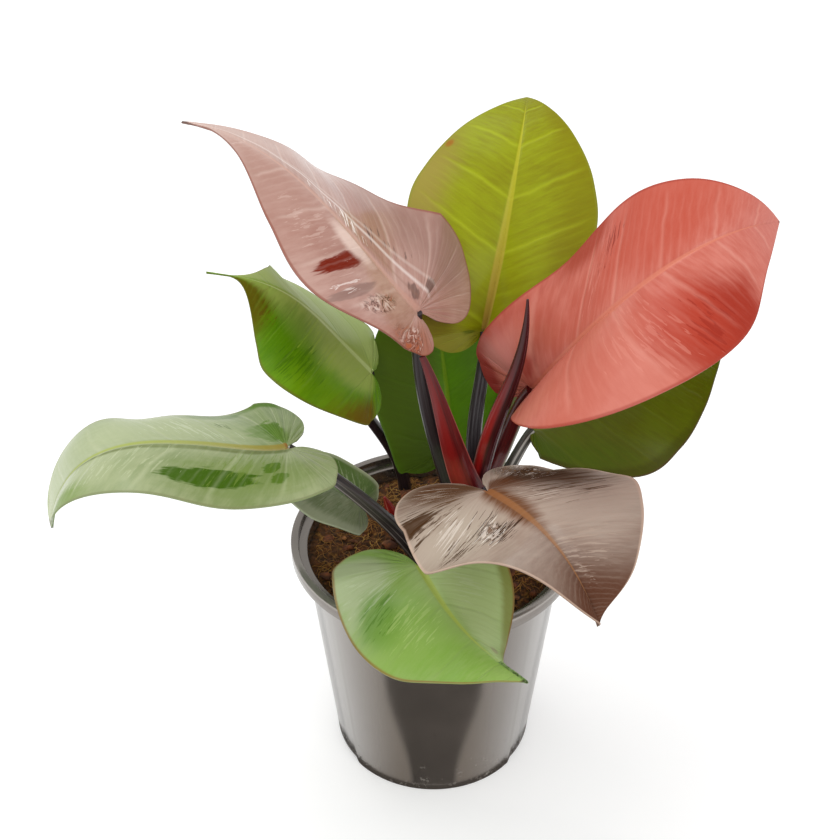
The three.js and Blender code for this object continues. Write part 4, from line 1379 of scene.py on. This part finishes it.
floor = start_from(bpy.ops.mesh.primitive_plane_add, "floor", size=12)
floor_material, floor_shader, w = new_finish("floor_white")
feed(w, floor_shader, Base_Color=(0.8, 0.8, 0.8, 1), Roughness=0.8)
feed(w, floor_shader, Emission_Color=(1, 1, 1, 1), Emission_Strength=0.3)
floor.data.materials.append(floor_material)

world = bpy.data.worlds.new("studio")
world.use_nodes = True
bpy.context.scene.world = world
background = world.node_tree.nodes["Background"]
background.inputs[0].default_value = (1.0, 1.0, 1.0, 1)
background.inputs[1].default_value = 0.85


def add_panel(name, place, width, height, power):
    """A soft rectangular light, turned towards the plant."""
    data = bpy.data.lights.new(name, "AREA")
    data.shape = "RECTANGLE"
    data.size, data.size_y, data.energy = width, height, power
    panel = bpy.data.objects.new(name, data)
    panel.location = place
    panel.rotation_euler = (Vector(AIM) - Vector(place)).to_track_quat("-Z", "Y").to_euler()
    bpy.context.scene.collection.objects.link(panel)


add_panel("sky_panel", (-0.7, 0.4, 1.7), 1.4, 1.0, 11)
add_panel("front_panel", (0.6, -1.4, 1.3), 1.2, 1.0, 8)
print("floor and lights set")

# %% [markdown]
# ## What the pot mirrors
#
# The pot's wall mirrors the table in front of it. In the photograph that is something dark in the middle,
# with soft grey beside it. Here it is a card on the floor that only reflections see: a painted reflection.
# Its grid is laid out by following the camera's rays from the wall to the floor, so that its pattern can be
# painted as if on the wall: how far round from the front, and how high. A thin dark ring, also seen only in
# reflections, puts a painted contact shadow into the foot's reflection.

# %% Dark card and ring
CARD_TURN = 70
CARD_HEIGHTS = (3, 145)
CARD_RISE = 0.4
CARD_HALF = (13.0, 28.0)
CARD_HALF_TOP = 64.0
CARD_SOFT = 2.0
CARD_FADE = (54.0, 12.0)
CARD_STRIP = 0.93
CARD_SIDE = 0.8
CARD_DARK = (0.05, 0.045, 0.04, 1)
CARD_GREY = (0.62, 0.54, 0.46, 1)


def seen_in_wall(turn, height):
    """The place on the floor that the camera sees in the wall, at an angle from the front and a height."""
    radius = wall_radius(height)
    wall = np.stack([np.sin(turn) * radius, -np.cos(turn) * radius, height], -1)
    normal = unit(np.stack([np.sin(turn), -np.cos(turn), np.full_like(turn, -TAPER)], -1))
    ray = unit(wall - np.array(camera.location) / MM)
    ray = ray - 2 * np.sum(ray * normal, -1, keepdims=True) * normal
    return wall - ray * (height / ray[:, 2])[:, None]


def make_card():
    card = start_from(
        bpy.ops.mesh.primitive_grid_add, "dark_card", x_subdivisions=60, y_subdivisions=24, size=2
    )
    flat = corners_of(card)
    low, high = CARD_HEIGHTS
    turn, height = flat[:, 0] * CARD_TURN, low + (flat[:, 1] + 1) / 2 * (high - low)
    put_corners(card, (seen_in_wall(np.radians(turn), height) * [1, 1, 0] + [0, 0, CARD_RISE]) * MM)
    wall = card.data.attributes.new("wall", "FLOAT_VECTOR", "POINT")
    wall.data.foreach_set("vector", np.stack([turn, height, 0 * turn], -1).ravel())
    return card


def make_card_finish():
    """Dark in the middle with a soft edge, grey beside it, and fading out to the sides."""
    material, shader, w = new_finish("card_dark")
    turn, height, _ = w.node("Attribute", {"attribute_name": "wall"}, output=1).parts()
    turn = turn.size()
    half = height.rise(0.0, CARD_HALF_TOP, *CARD_HALF)
    strip = (turn - half).rise(CARD_SOFT, -CARD_SOFT)
    side = turn.rise(*CARD_FADE) * CARD_SIDE
    feed(w, shader, Base_Color=strip.mix(CARD_GREY, CARD_DARK), Alpha=(strip * CARD_STRIP).at_least(side))
    feed(w, shader, Roughness=1.0, Specular_IOR_Level=0.0)
    return material


def make_ring():
    """A thin dark ring round the foot, a painted contact shadow that only reflections see."""
    ring = start_from(
        bpy.ops.mesh.primitive_circle_add, "dark_ring", vertices=96, radius=POT["base_radius"] * MM,
        fill_type="NOTHING", location=(0, 0, CARD_RISE * MM),
    )
    bpy.ops.object.transform_apply(location=True, rotation=True, scale=True)
    bpy.ops.object.mode_set(mode="EDIT")
    bpy.ops.mesh.select_all(action="SELECT")
    bpy.ops.mesh.extrude_region_move(TRANSFORM_OT_translate={"value": (0, 0, 0)})
    bpy.ops.transform.resize(value=(1.03, 1.03, 1))
    bpy.ops.object.mode_set(mode="OBJECT")
    return ring


card_material = make_card_finish()
for dark in (make_card(), make_ring()):
    dark.data.materials.append(card_material)
    dark.visible_camera = dark.visible_diffuse = dark.visible_shadow = dark.visible_transmission = False
print("card and ring set")
